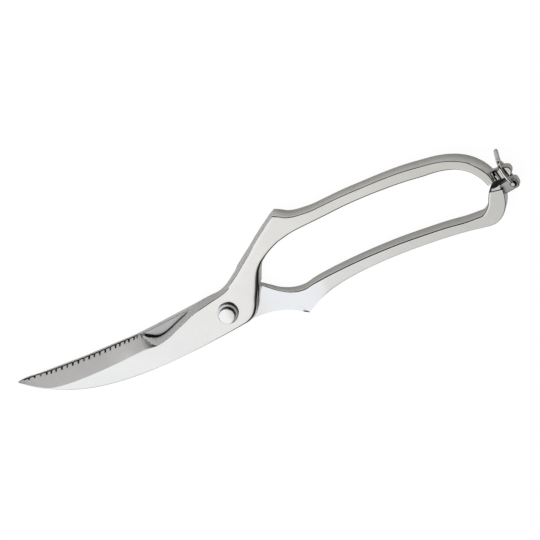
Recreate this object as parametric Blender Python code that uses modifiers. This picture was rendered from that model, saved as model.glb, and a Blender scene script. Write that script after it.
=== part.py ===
# Poultry shears: two forged halves that cross at a screw pivot, a coil spring hidden in the joint,
# a stop pin, and a wire bail that holds the grips together.
# Frame: origin on the pivot axis, in the plane the closed shears rest on. +X runs along the shears
# towards the latch, +Y towards the upper grip, +Z up through the thickness; the front is the +Z side.
# Lengths are millimetres, and heights are measured from the mid-plane of the thickness.
import math

import bmesh
import bpy
from mathutils import Vector

for old_object in list(bpy.data.objects):
    bpy.data.objects.remove(old_object, do_unlink=True)

MM = 0.001
HALF = 4.75        # half of the full thickness; the blades' inner flats meet at the mid-plane
GAP = 0.15         # each inner flat stands this far off the mid-plane
OVER = 1           # how far a cutter runs past the surface it opens

# ---- pivot stack
PLAY = 0.05        # gap under the washer and under the screw head
CLEARANCE = 0.06   # radial clearance of the turned parts
HEAD_R, HEAD_T = 3.9, 2.75
HEAD_FOOT_R = HEAD_R - 0.15
SHANK_R = 2.45
BUSH_R, BUSH_BORE_R = 3.3, SHANK_R + CLEARANCE
HALF_BORE_R = BUSH_R + CLEARANCE
WASHER_R, WASHER_T = 4.9, 1.7
WASHER_LOW = HALF + PLAY
WASHER_TOP = WASHER_LOW + WASHER_T
HEAD_LOW = WASHER_TOP + PLAY
HEAD_TOP = HEAD_LOW + HEAD_T
NUT_R, NUT_T = 4.6, 2.2
NUT_LOW = -HALF
NUT_TOP = NUT_LOW + NUT_T
STEP_R = 20.2      # the front half is full thickness outside this circle round the pivot

# ---- spring and the room for it
WELL_R = 5.6
WELL_FRONT, WELL_REAR = 2.2, 1.6    # depths from the mid-plane
SPRING_WIRE_R, SPRING_R, SPRING_TURNS, SPRING_PITCH = 0.42, 4.4, 2.5, 0.98
SPRING_STEPS = 24                   # points in a turn
SPRING_LOW = -WELL_REAR + SPRING_WIRE_R + 0.15
SPRING_END_RISE = 0.02              # height of the front leg above the last coil point
# Plan points of the rear leg, from its end to the coil; the front leg mirrors them in X.
SPRING_LEG = [(7.1, 0.0), (5.9, 0.0), (5.1, 0.05), (4.6, 0.35)]
LEG_SLOT = [(5.0, -0.7), (7.6, -0.7), (7.6, 0.7), (5.0, 0.7)]

# ---- stop pin and its arc slot
STOP_R, STOP_AT_DEG, STOP_PIN_R = 10.4, 200.0, 1.5
STOP_AT = (STOP_R * math.cos(math.radians(STOP_AT_DEG)),
           STOP_R * math.sin(math.radians(STOP_AT_DEG)))
STOP_PIN_LOW = -3.35
OPEN_DEG = 36.0
STOP_END_DEG = 9.5      # the slot's reach past the pin's centre at either end
STOP_SLOT_SIDE = 0.25   # clearance between the pin and either side of the slot
STOP_SLOT_STEPS = 12

# ---- latch
LUG_HALF = 2.5
LUG_CHAMFER = 0.3
RECESS_FLOOR = 0.9
DETENT_DEPTH = 0.5
BAIL_AT = (148.7, 12.9)
WIRE_R = 0.8
BAIL_LEG_Z = LUG_HALF + WIRE_R + 0.15
BAIL_SINK_R, BAIL_SINK_DEPTH = 1.7, 0.35
BAIL_STEPS_PER_SPAN = 2
PEEN_R, PEEN_LOW, PEEN_TOP = 0.85, 2.7, BAIL_LEG_Z + WIRE_R + 0.12
PEEN_SHIFT_Y = 0.3
TAB_HALF = 0.9

# ---- forged halves
# Stations across each half, from the point to the end of the grip. Columns:
#   kind: picks the shape of the bevel
#   edge (x, y): the cutting edge, then the neck's and the grip's outer edge
#   face (x, y): where the ground bevel or the edge chamfer ends and the flat face starts
#   back (x, y): the spine, then the shoulder and the grip's inner edge
#   height of the flat face, height of the inner face, rounding at the back on the flat face
#   notch stations only: two middle points of the bevel, each a fraction from edge to face and a height
BLADE, NECK, GRIP, SPUR = "blade", "neck", "grip", "spur"
NOTCH_START, NOTCH = "notch_start", "notch"
HUB, HUB_LOW = "hub", "hub_low"
GRIP_END, GRIP_WIDE = "grip_end", "grip_wide"
FRONT = [
    (BLADE, (-106.6, 0.4), (-106.3, -0.2), (-106.2, -0.5), 0.6, GAP, 0.12),
    (BLADE, (-105.0, 0.5), (-104.9, -1.0), (-104.8, -1.3), 0.9, GAP, 0.12),
    (BLADE, (-102.0, 0.6), (-101.8, -3.0), (-101.7, -3.4), 1.3, GAP, 0.2),
    (BLADE, (-98.0, 0.8), (-97.7, -5.3), (-97.6, -5.7), 1.7, GAP, 0.2),
    (BLADE, (-93.5, 0.7), (-93.3, -7.1), (-93.2, -7.7), 2.1, GAP, 0.25),
    (BLADE, (-88.0, 0.7), (-88.0, -7.8), (-88.0, -9.8), 2.35, GAP, 0.3),
    (BLADE, (-82.0, 0.85), (-82.3, -7.9), (-82.4, -11.7), 2.6, GAP, 0.45),
    (BLADE, (-75.0, 1.1), (-75.2, -7.6), (-75.5, -13.3), 2.85, GAP, 0.45),
    (BLADE, (-65.0, 1.6), (-65.3, -6.8), (-65.9, -14.5), 3.2, GAP, 0.45),
    (BLADE, (-56.0, 2.3), (-56.3, -5.8), (-56.0, -14.9), 3.5, GAP, 0.45),
    (BLADE, (-49.0, 2.7), (-49.3, -4.8), (-49.5, -14.8), 3.75, GAP, 0.45),
    (NOTCH_START, (-43.9, 3.1), (-43.9, -4.1), (-45.0, -14.6), 3.9, GAP, 0.45),
    (NOTCH, (-42.9, 2.8), (-42.7, -4.1), (-43.3, -14.45), 3.94, GAP, 0.3, 0.1, 0.95, 0.29, 1.43),
    (NOTCH, (-41.5, 1.95), (-41.4, -4.1), (-41.5, -14.3), 3.98, GAP, 0.3, 0.15, 1.55, 0.58, 2.5),
    (NOTCH, (-39.55, 0.9), (-39.5, -4.15), (-39.5, -14.15), 4.03, GAP, 0.3, 0.2, 2.15, 0.78, 3.2),
    (NOTCH, (-37.6, -0.25), (-37.6, -4.1), (-37.4, -14.0), 4.1, GAP, 0.3, 0.2, 2.55, 0.9, 3.75),
    (NOTCH, (-35.2, -0.7), (-35.2, -3.75), (-34.8, -13.75), 4.18, GAP, 0.3, 0.17, 2.7, 0.6, 3.48),
    (NOTCH, (-32.5, -0.2), (-32.5, -2.9), (-32.0, -13.45), 4.25, GAP, 0.3, 0.25, 2.8, 0.6, 3.48),
    (NOTCH, (-29.4, 0.95), (-29.5, -1.8), (-28.8, -13.0), 4.35, GAP, 0.3, 0.27, 2.9, 0.62, 3.6),
    (NOTCH, (-26.3, 2.25), (-26.4, -0.3), (-25.6, -12.6), 4.43, GAP, 0.3, 0.2, 3.0, 0.6, 3.72),
    (NOTCH, (-23.2, 3.6), (-23.2, 1.15), (-22.3, -12.2), 4.55, GAP, 0.35, 0.12, 3.0, 0.55, 3.77),
    (NOTCH, (-20.2, 4.85), (-20.1, 2.6), (-19.2, -11.8), 4.65, GAP, 0.4, 0.12, 2.6, 0.55, 3.62),
    (NOTCH, (-17.0, 6.4), (-16.8, 4.15), (-16.0, -11.35), 4.72, GAP, 0.4, 0.14, 2.2, 0.55, 3.45),
    (NOTCH, (-14.0, 7.6), (-13.9, 5.2), (-13.0, -10.85), HALF, GAP, 0.4, 0.16, 2.0, 0.55, 3.4),
    (HUB, (-11.0, 8.6), (-11.2, 5.9), (-10.0, -10.4), HALF, GAP, 0.55),
    (HUB, (-5.6, 9.5), (-5.8, 7.4), (-4.5, -9.6), HALF, GAP, 0.65),
    (HUB, (-0.2, 10.3), (0.2, 9.0), (3.9, -8.2), HALF, GAP, 0.9),
    (HUB, (2.9, 11.65), (3.2, 10.0), (7.9, -7.5), HALF, GAP, 1.4),
    (HUB_LOW, (4.5, 12.6), (4.8, 10.95), (11.0, -6.1), HALF, -HALF, 2.1),
    (NECK, (6.0, 13.7), (6.4, 12.35), (13.4, -3.5), HALF, -HALF, 2.6),
    (NECK, (7.6, 14.85), (8.0, 13.4), (15.7, 1.0), HALF, -HALF, 2.7),
    (NECK, (9.2, 16.1), (9.7, 14.55), (17.6, 4.5), HALF, -HALF, 2.7),
    (NECK, (12.6, 18.75), (13.1, 17.2), (20.3, 10.4), HALF, -HALF, 2.5),
    (NECK, (16.3, 21.6), (16.9, 20.3), (22.1, 14.2), HALF, -HALF, 2.0),
    (NECK, (20.3, 24.65), (20.9, 23.5), (24.2, 17.1), HALF, -HALF, 1.5),
    (NECK, (24.2, 27.8), (24.7, 26.9), (26.9, 19.5), HALF, -HALF, 1.1),
    (NECK, (28.0, 30.7), (28.4, 29.9), (30.0, 21.6), HALF, -HALF, 0.9),
    (NECK, (31.6, 33.3), (31.9, 32.4), (32.8, 23.1), HALF, -HALF, 0.9),
    (NECK, (35.0, 35.7), (35.2, 35.0), (35.4, 24.3), HALF, -HALF, 0.9),
    (SPUR, (37.9, 37.4), (37.9, 36.7), (37.6, 25.0), HALF, -HALF, 0.9),
    (GRIP, (40.6, 36.2), (40.5, 35.8), (40.0, 25.7), HALF, -HALF, 0.9),
    (GRIP, (43.8, 34.5), (43.7, 34.1), (43.2, 26.5), HALF, -HALF, 0.9),
    (GRIP, (47.1, 33.8), (47.1, 33.4), (46.8, 27.1), HALF, -HALF, 0.9),
    (GRIP, (50.5, 33.6), (50.5, 33.2), (50.6, 27.6), HALF, -HALF, 0.9),
    (GRIP, (55.6, 33.6), (55.6, 33.15), (55.8, 28.2), HALF, -HALF, 0.9),
    (GRIP, (61.0, 34.2), (61.0, 33.75), (61.2, 28.9), HALF, -HALF, 0.9),
    (GRIP, (71.6, 35.4), (71.6, 34.95), (72.0, 30.3), HALF, -HALF, 0.9),
    (GRIP, (81.9, 36.1), (81.9, 35.65), (82.0, 31.1), HALF, -HALF, 0.9),
    (GRIP, (92.0, 36.7), (92.0, 36.25), (92.0, 31.5), HALF, -HALF, 0.9),
    (GRIP, (102.5, 36.9), (102.5, 36.45), (102.2, 31.55), HALF, -HALF, 0.9),
    (GRIP, (112.0, 36.4), (112.0, 35.95), (111.4, 31.1), HALF, -HALF, 0.9),
    (GRIP, (119.0, 35.8), (118.9, 35.4), (117.8, 30.95), HALF, -HALF, 0.9),
    (GRIP, (124.6, 34.6), (124.5, 34.2), (122.9, 30.2), HALF, -HALF, 0.9),
    (GRIP, (129.0, 33.0), (128.8, 32.6), (126.8, 29.1), HALF, -HALF, 0.9),
    (GRIP, (132.9, 30.8), (132.6, 30.5), (130.2, 27.2), HALF, -HALF, 0.9),
    (GRIP_END, (136.3, 27.9), (135.8, 27.4), (133.0, 24.8), HALF, -HALF, 0.9),
    (GRIP_END, (139.0, 24.5), (138.3, 24.1), (135.3, 21.8), HALF, -HALF, 0.9),
    (GRIP_END, (140.8, 20.9), (140.0, 20.6), (136.8, 18.9), HALF, -HALF, 0.9),
    (GRIP_END, (141.3, 17.7), (140.5, 17.5), (137.7, 16.5), HALF, -HALF, 0.9),
]
# The rear half has the same columns, but its heights are measured towards -Z.
REAR = [
    (BLADE, (-106.0, -0.7), (-106.3, 0.0), (-106.5, 0.3), 0.6, GAP, 0.12),
    (BLADE, (-104.5, -1.2), (-104.6, 0.2), (-104.7, 0.6), 0.9, GAP, 0.12),
    (BLADE, (-101.0, -2.7), (-101.1, 0.3), (-101.2, 0.8), 1.3, GAP, 0.2),
    (BLADE, (-96.0, -4.5), (-96.0, 0.2), (-96.2, 0.5), 1.7, GAP, 0.2),
    (BLADE, (-90.0, -6.1), (-90.0, -0.5), (-90.0, 0.5), 2.1, GAP, 0.25),
    (BLADE, (-82.0, -7.7), (-82.0, -1.9), (-82.0, 0.65), 2.5, GAP, 0.3),
    (BLADE, (-74.0, -8.8), (-74.0, -2.7), (-74.2, 0.7), 2.85, GAP, 0.3),
    (BLADE, (-65.0, -9.7), (-65.0, -3.3), (-65.3, 1.15), 3.2, GAP, 0.3),
    (BLADE, (-56.0, -10.2), (-56.0, -3.7), (-56.5, 1.65), 3.5, GAP, 0.3),
    (BLADE, (-47.0, -10.4), (-47.0, -3.9), (-47.5, 2.1), 3.8, GAP, 0.3),
    (BLADE, (-38.5, -10.3), (-38.5, -4.0), (-39.0, 3.05), 4.1, GAP, 0.3),
    (BLADE, (-31.0, -10.1), (-31.0, -4.2), (-31.5, 4.1), 4.35, GAP, 0.3),
    (BLADE, (-24.0, -9.8), (-24.0, -5.0), (-24.5, 5.1), 4.6, GAP, 0.3),
    (BLADE, (-18.0, -9.5), (-18.0, -6.6), (-18.5, 6.0), HALF, GAP, 0.3),
    (GRIP, (-13.0, -9.2), (-13.0, -8.8), (-13.5, 6.8), HALF, GAP, 0.3),
    (GRIP, (-7.0, -8.9), (-7.0, -8.5), (-7.5, 7.5), HALF, GAP, 0.3),
    (GRIP, (-1.0, -8.6), (-1.0, -8.2), (-1.5, 8.4), HALF, GAP, 0.3),
    (GRIP, (5.0, -8.35), (5.0, -7.95), (4.0, 9.3), HALF, GAP, 0.3),
    (GRIP, (10.0, -8.1), (10.0, -7.7), (9.0, 9.6), HALF, GAP, 0.3),
    (GRIP, (14.5, -8.0), (14.6, -7.6), (13.6, 8.85), HALF, GAP, 0.9),
    (GRIP, (19.5, -8.3), (19.6, -7.9), (17.6, 6.6), HALF, 0.05, 2.2),
    (GRIP, (24.4, -9.1), (24.5, -8.7), (21.5, 4.0), HALF, -0.6, 2.6),
    (GRIP, (29.7, -11.1), (29.8, -10.7), (25.2, 1.35), HALF, -1.2, 2.4),
    (GRIP, (33.0, -12.8), (33.0, -12.4), (28.7, -0.4), HALF, -1.9, 1.8),
    (SPUR, (35.2, -13.6), (35.2, -13.1), (32.5, -1.55), HALF, -2.6, 1.3),
    (GRIP, (38.6, -11.2), (38.6, -10.8), (37.2, -1.7), HALF, -3.6, 0.95),
    (GRIP, (42.7, -8.7), (42.7, -8.3), (42.2, -0.35), HALF, -4.5, 0.9),
    (GRIP, (48.8, -6.2), (48.8, -5.8), (48.9, 0.9), HALF, -HALF, 0.9),
    (GRIP, (56.0, -4.2), (56.0, -3.8), (56.8, 2.0), HALF, -HALF, 0.9),
    (GRIP, (65.5, -2.5), (65.5, -2.1), (66.0, 3.05), HALF, -HALF, 0.9),
    (GRIP, (75.0, -1.4), (75.0, -1.0), (75.0, 3.8), HALF, -HALF, 0.9),
    (GRIP, (88.0, -0.6), (88.0, -0.2), (88.0, 4.45), HALF, -HALF, 0.9),
    (GRIP, (100.5, -0.4), (100.5, 0.0), (100.5, 4.5), HALF, -HALF, 0.9),
    (GRIP, (112.0, -0.6), (112.0, -0.2), (112.0, 4.3), HALF, -HALF, 0.9),
    (GRIP, (122.0, -1.2), (122.0, -0.8), (121.5, 3.7), HALF, -HALF, 0.9),
    (GRIP, (128.5, -1.9), (128.4, -1.5), (126.2, 3.8), HALF, -HALF, 0.9),
    (GRIP_WIDE, (133.6, -2.0), (133.2, -1.0), (129.6, 4.05), HALF, -HALF, 0.9),
    (GRIP_WIDE, (137.9, 0.0), (136.8, 1.2), (131.9, 5.6), HALF, -HALF, 0.9),
    (GRIP_WIDE, (141.2, 4.0), (139.3, 4.9), (134.0, 8.0), HALF, -HALF, 0.9),
    (GRIP_WIDE, (142.9, 8.5), (140.9, 8.9), (135.5, 11.15), HALF, -HALF, 0.9),
    (GRIP_WIDE, (143.5, 12.6), (141.3, 12.95), (136.7, 13.4), HALF, -HALF, 0.9),
]
SHARP = (NOTCH_START, SPUR)     # kinds where the edge turns a corner
NARROW = (GRIP, SPUR)           # kinds whose chamfer takes only a part of edge to face
NARROW_CHAMFER = 0.68
STATIONS_PER_SPAN = 2

# ---- latch outlines, in plan (x, y)
FRONT_LUG = [
    (136.6, 19.2), (138.8, 23.0), (141.0, 21.5), (143.7, 21.5), (145.6, 22.1), (147.6, 22.1),
    (149.5, 21.5), (150.2, 20.4), (150.3, 19.0), (149.6, 17.6), (148.7, 16.95), (146.2, 16.7),
    (143.4, 16.7), (139.2, 16.9)]
FRONT_RECESS = [
    (141.25, 24.0), (144.2, 21.15), (144.45, 18.4), (144.9, 15.0), (141.0, 15.0), (141.5, 18.0)]
DETENT = [(146.9, 21.8), (147.6, 21.8), (148.75, 16.4), (148.1, 16.2)]
REAR_LUG = [
    (138.6, 10.5), (139.0, 12.9), (143.1, 14.8), (145.9, 15.45), (148.4, 15.35), (149.9, 15.35),
    (150.75, 14.5), (151.0, 12.9), (150.9, 11.1), (150.2, 10.65), (144.9, 9.7), (143.7, 9.6),
    (141.0, 9.0), (139.4, 8.6)]
# Two steps that close the end of the lower grip.
END_PLUG = [
    (138.0, 12.2), (137.9, 15.0), (140.05, 15.6), (144.1, 15.85), (145.6, 15.9), (145.6, 14.0),
    (142.0, 11.8)]
END_FACET = [
    (137.75, 13.3), (138.0, 13.8), (140.0, 14.4), (141.8, 14.75), (143.0, 15.4), (142.5, 13.1),
    (142.2, 11.0), (138.2, 11.6)]
# The bail's thumb tab.
TAB = [
    (145.95, 30.5), (146.8, 30.8), (147.45, 30.3), (147.5, 29.5), (147.15, 27.3), (146.9, 25.4),
    (146.75, 23.6), (146.5, 22.6), (144.75, 22.9), (144.7, 24.2), (145.05, 26.5), (145.35, 28.5),
    (145.7, 30.2)]
# The centre line of the bail's front leg: x, y, height.
BAIL_PATH = [
    (*BAIL_AT, 0.35), (*BAIL_AT, 2.3), (148.68, 13.0, 3.05), (148.3, 13.95, BAIL_LEG_Z),
    (146.45, 19.5, BAIL_LEG_Z), (146.2, 21.0, BAIL_LEG_Z), (146.0, 22.3, 3.2), (145.85, 23.1, 2.4),
    (145.75, 23.8, 1.3), (145.75, 24.6, 0.5)]


def collection(name):
    made = bpy.data.collections.new(name)
    bpy.context.scene.collection.children.link(made)
    return made


def metal(name, colour, roughness):
    made = bpy.data.materials.new(name)
    made.use_nodes = True
    shader = made.node_tree.nodes["Principled BSDF"]
    shader.inputs["Base Color"].default_value = (*colour, 1.0)
    shader.inputs["Metallic"].default_value = 1.0
    shader.inputs["Roughness"].default_value = roughness
    return made


SHEARS = collection("poultry_shears")
CUTTERS = collection("cutters")     # hidden operands of the booleans, both cut away and joined on

STEEL_FRONT = metal("polished_steel_front", colour=(0.78, 0.78, 0.77), roughness=0.16)
STEEL_REAR = metal("polished_steel_rear", colour=(0.76, 0.76, 0.76), roughness=0.17)
SCREW_STEEL = metal("bright_screw", colour=(0.82, 0.82, 0.82), roughness=0.08)
WASHER_STEEL = metal("washer_steel", colour=(0.72, 0.72, 0.72), roughness=0.2)
BUSH_BRASS = metal("bush_brass", colour=(0.78, 0.62, 0.32), roughness=0.3)
NUT_STEEL = metal("nut_steel", colour=(0.7, 0.7, 0.7), roughness=0.25)
PIN_STEEL = metal("pin_steel", colour=(0.66, 0.66, 0.67), roughness=0.25)
SPRING_STEEL = metal("spring_steel", colour=(0.5, 0.5, 0.52), roughness=0.3)
WIRE_STEEL = metal("wire_steel", colour=(0.74, 0.74, 0.74), roughness=0.12)


# ---- geometry helpers
def at(x, y, z):
    """A point of the frame, in metres, from plan millimetres and a height above the mid-plane."""
    return (x * MM, y * MM, (z + HALF) * MM)


def polar(radius, degrees):
    return radius * math.cos(math.radians(degrees)), radius * math.sin(math.radians(degrees))


def mix(start, end, part):
    return [a + (b - a) * part for a, b in zip(start, end)]


def tangents(points, sharp):
    """Catmull-Rom tangents with chord-length spacing; one-sided at a sharp point."""
    last = len(points) - 1
    gaps = [max(math.dist(a, b), 1e-6) for a, b in zip(points, points[1:])]
    slopes = [[(b - a) / gap for a, b in zip(start, end)]
              for start, end, gap in zip(points, points[1:], gaps)]
    before, after = [], []
    for i in range(last + 1):
        left = slopes[max(i - 1, 0)]
        right = slopes[min(i, last - 1)]
        if 0 < i < last and not sharp[i]:
            gap_left, gap_right = gaps[i - 1], gaps[i]
            left = right = [(a * gap_right + b * gap_left) / (gap_left + gap_right)
                            for a, b in zip(left, right)]
        before.append(left)
        after.append(right)
    return gaps, before, after


def curve(points, per_span, sharp=None):
    """Points along a Hermite curve through the given ones, per_span of them to each span."""
    gaps, before, after = tangents(points, sharp or [False] * len(points))
    made = []
    for i, gap in enumerate(gaps):
        for k in range(per_span):
            t = k / per_span
            from_start, from_end = 2 * t**3 - 3 * t**2 + 1, -2 * t**3 + 3 * t**2
            leaving, arriving = t**3 - 2 * t**2 + t, t**3 - t**2
            made.append([
                from_start * a + from_end * b + leaving * gap * u + arriving * gap * v
                for a, b, u, v in zip(points[i], points[i + 1], after[i], before[i + 1])])
    return made + [list(points[-1])]


def round_outline(outline, radius, segments=3):
    """An outline with its corners rounded."""
    made = []
    for i, corner in enumerate(outline):
        previous, following = outline[i - 1], outline[(i + 1) % len(outline)]
        before, after = math.dist(previous, corner), math.dist(following, corner)
        back = min(radius, before * 0.45, after * 0.45)
        start = [q + (p - q) * back / before for q, p in zip(corner, previous)]
        end = [q + (p - q) * back / after for q, p in zip(corner, following)]
        for k in range(segments + 1):
            t = k / segments
            made.append(tuple(a * (1 - t) ** 2 + q * 2 * t * (1 - t) + b * t * t
                              for a, q, b in zip(start, corner, end)))
    return made


def join_rings(bm, rings):
    for a, b in zip(rings, rings[1:]):
        for k in range(len(a)):
            n = (k + 1) % len(a)
            bm.faces.new((a[k], a[n], b[n], b[k]))


def add_object(name, bm, where, mat=None):
    mesh = bpy.data.meshes.new(name)
    bm.to_mesh(mesh)
    bm.free()
    made = bpy.data.objects.new(name, mesh)
    where.objects.link(made)
    if mat:
        mesh.materials.append(mat)
    if where is CUTTERS:
        made.hide_render = True
        made.display_type = "WIRE"
    return made


def add_solid(name, bm, where, mat=None):
    bmesh.ops.recalc_face_normals(bm, faces=bm.faces)
    return add_object(name, bm, where, mat)


def disc(name, radius, low, high, where=CUTTERS, mat=None, centre=(0.0, 0.0), sides=64):
    bm = bmesh.new()
    bmesh.ops.create_cone(bm, cap_ends=True, segments=sides, radius1=radius * MM,
                          radius2=radius * MM, depth=(high - low) * MM)
    bmesh.ops.translate(bm, verts=bm.verts, vec=at(*centre, (low + high) / 2))
    return add_solid(name, bm, where, mat)


def plate(name, outline, low, high, chamfer=0.0, rounding=0.0):
    """A boolean operand: an outline extruded from low to high, corners rounded, rims chamfered."""
    if rounding:
        outline = round_outline(outline, rounding)
    bm = bmesh.new()
    base = bm.faces.new([bm.verts.new(at(x, y, low)) for x, y in outline])
    grown = bmesh.ops.extrude_face_region(bm, geom=[base])
    bmesh.ops.translate(bm, verts=[v for v in grown["geom"] if isinstance(v, bmesh.types.BMVert)],
                        vec=(0, 0, (high - low) * MM))
    bmesh.ops.recalc_face_normals(bm, faces=bm.faces)
    if chamfer:
        rims = [edge for edge in bm.edges
                if abs(edge.verts[1].co.z - edge.verts[0].co.z) < 1e-9]
        bmesh.ops.bevel(bm, geom=rims, offset=chamfer * MM, segments=2, profile=0.5,
                        affect="EDGES")
    return add_solid(name, bm, CUTTERS)


def turned(name, profile, mat, closed=False):
    """A solid of revolution about the pivot axis, from (radius, height) points."""
    bm = bmesh.new()
    ordered = profile[::-1] if closed else profile
    points = [bm.verts.new(at(radius, 0, z)) for radius, z in ordered]
    for a, b in zip(points, points[1:]):
        bm.edges.new((a, b))
    if closed:
        bm.edges.new((points[-1], points[0]))
    made = add_object(name, bm, SHEARS, mat)
    screw = made.modifiers.new("turn", "SCREW")
    screw.axis = "Z"
    screw.steps = screw.render_steps = 64
    screw.use_merge_vertices = True
    screw.merge_threshold = 0.000001
    screw.use_normal_calculate = not closed


def tube(name, path, radius, where, mat=None, sides=12):
    """A round wire along plan positions and heights: rings square to the path, joined up."""
    points = [Vector(at(*place)) for place in path]
    bm = bmesh.new()
    rings = []
    side = None
    for i, point in enumerate(points):
        ahead = points[min(i + 1, len(points) - 1)] - points[max(i - 1, 0)]
        ahead.normalize()
        if side is None:
            side = ahead.orthogonal().normalized()
        side = (side - ahead * side.dot(ahead)).normalized()
        other = ahead.cross(side)
        angles = [2 * math.pi * k / sides for k in range(sides)]
        rings.append([
            bm.verts.new(point + (side * math.cos(a) + other * math.sin(a)) * radius * MM)
            for a in angles])
    join_rings(bm, rings)
    bm.faces.new(rings[0])
    bm.faces.new(rings[-1])
    return add_solid(name, bm, where, mat)


def boolean(target, other, how="DIFFERENCE"):
    modifier = target.modifiers.new(other.name, "BOOLEAN")
    modifier.operation = how
    modifier.solver = "EXACT"
    modifier.object = other


# ---- forged halves
def bevel_shape(row):
    """(wall height at the edge, first middle point's fraction and height, second one's fraction
    and height, rounding at the edge on the inner face)."""
    kind, face_z, inner_z = row[0], row[4], row[5]
    if kind == NOTCH:
        return (inner_z + 0.35, *row[7:11], 0.1)
    if kind in (BLADE, NOTCH_START):
        wall = inner_z + 0.18
        first, second = (0.33, 0.66) if kind == BLADE else (0.02, 0.04)
        rise = face_z - wall
        return wall, first, wall + rise * first, second, wall + rise * second, 0.06
    if kind == HUB:
        return inner_z + 0.6, 0.16, 1.9, 0.55, 3.4, 0.1
    if kind == HUB_LOW:
        return 0.9, 0.2, 2.2, 0.55, 3.7, 0.3
    if kind == NECK:
        return 1.4, 0.25, 2.7, 0.6, 3.95, 0.3
    if kind == GRIP_WIDE:
        return face_z - 0.7, 0.3, face_z - 0.42, 0.66, face_z - 0.18, 0.4
    if kind == GRIP_END:
        return face_z - 1.3, 0.3, face_z - 0.75, 0.62, face_z - 0.32, 0.4
    return face_z - 0.3, 0.33, face_z - 0.2, 0.66, face_z - 0.1, 0.3


def section_numbers(row):
    """The numbers of a station that section() takes after its three plan points."""
    face_z, inner_z, back_round = row[4:7]
    inner_round = min(back_round, 0.9 if inner_z < -0.2 else 0.3)
    return (face_z, inner_z, back_round, *bevel_shape(row), inner_round)


def section(edge, face, back, face_z, inner_z, back_round, wall_z, part_1, z_1, part_2, z_2,
            edge_round, inner_round):
    """The ring of points of one station."""
    length = math.dist(edge, back)
    across = ((back[0] - edge[0]) / length, (back[1] - edge[1]) / length)

    def shifted(base, shift):
        return base[0] + across[0] * shift, base[1] + across[1] * shift

    mid_arc = 1 - math.cos(math.pi / 4)     # inset of a quarter round's middle, as part of its radius
    return [
        (*shifted(edge, edge_round), inner_z),
        (*edge, inner_z + edge_round),
        (*edge, wall_z),
        (*mix(edge, face, part_1), z_1),
        (*mix(edge, face, part_2), z_2),
        (*face, face_z),
        (*shifted(back, -back_round), face_z),
        (*shifted(back, -back_round * mid_arc), face_z - back_round * mid_arc),
        (*back, face_z - back_round),
        (*back, inner_z + inner_round),
        (*shifted(back, -inner_round * mid_arc), inner_z + inner_round * mid_arc),
        (*shifted(back, -inner_round), inner_z),
    ]


def half_body(name, rows, facing, mat):
    """A loft through the stations. facing is 1, or -1 where heights are measured towards -Z."""
    sharp = [row[0] in SHARP for row in rows]
    edges = [row[1] for row in rows]
    faces = [mix(row[1], row[2], NARROW_CHAMFER if row[0] in NARROW else 1.0) for row in rows]
    backs = [row[3] for row in rows]
    plain = [section_numbers(row) for row in rows]
    numbers = [mix(start, end, k / STATIONS_PER_SPAN)
               for start, end in zip(plain, plain[1:]) for k in range(STATIONS_PER_SPAN)]
    numbers.append(plain[-1])
    stations = zip(curve(edges, STATIONS_PER_SPAN, sharp), curve(faces, STATIONS_PER_SPAN, sharp),
                   curve(backs, STATIONS_PER_SPAN), numbers)
    bm = bmesh.new()
    rings = [[bm.verts.new(at(x, y, z * facing)) for x, y, z in section(edge, face, back, *rest)]
             for edge, face, back, rest in stations]
    join_rings(bm, rings)
    for ring in (rings[0], rings[-1]):
        middle = bm.verts.new(sum((v.co for v in ring), Vector()) / len(ring))
        for k in range(len(ring)):
            bm.faces.new((ring[k], ring[(k + 1) % len(ring)], middle))
    bmesh.ops.triangulate(bm, faces=bm.faces)
    return add_solid(name, bm, SHEARS, mat)


def stop_slot_outline():
    """An arc: the pin is near one end at rest, and near the other when the grips are open."""
    start = STOP_AT_DEG + STOP_END_DEG
    sweep = OPEN_DEG + 2 * STOP_END_DEG
    angles = [start - sweep * k / STOP_SLOT_STEPS for k in range(STOP_SLOT_STEPS + 1)]
    reach = STOP_PIN_R + STOP_SLOT_SIDE
    return ([polar(STOP_R + reach, angle) for angle in angles]
            + [polar(STOP_R - reach, angle) for angle in reversed(angles)])


def front_half():
    """Lower blade with a notch in its edge, upper grip and its lug."""
    half = half_body("front_half", FRONT, 1, STEEL_FRONT)
    boolean(half, disc("step_cut", STEP_R, -HALF - OVER, GAP, sides=96))
    boolean(half, plate("front_lug", FRONT_LUG, -LUG_HALF, LUG_HALF, chamfer=LUG_CHAMFER,
                        rounding=0.6), "UNION")
    boolean(half, plate("front_recess", FRONT_RECESS, RECESS_FLOOR, HALF + 2 * OVER))
    boolean(half, plate("detent", DETENT, LUG_HALF - DETENT_DEPTH, LUG_HALF + OVER))
    boolean(half, disc("front_bore", HALF_BORE_R, -OVER, HALF + OVER))
    boolean(half, disc("front_well", WELL_R, -OVER, WELL_FRONT))
    mirrored_slot = [(-x, y) for x, y in LEG_SLOT]
    boolean(half, plate("front_leg_slot", mirrored_slot, -OVER, WELL_FRONT))
    boolean(half, plate("stop_slot", stop_slot_outline(), -OVER, WELL_FRONT))


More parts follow.
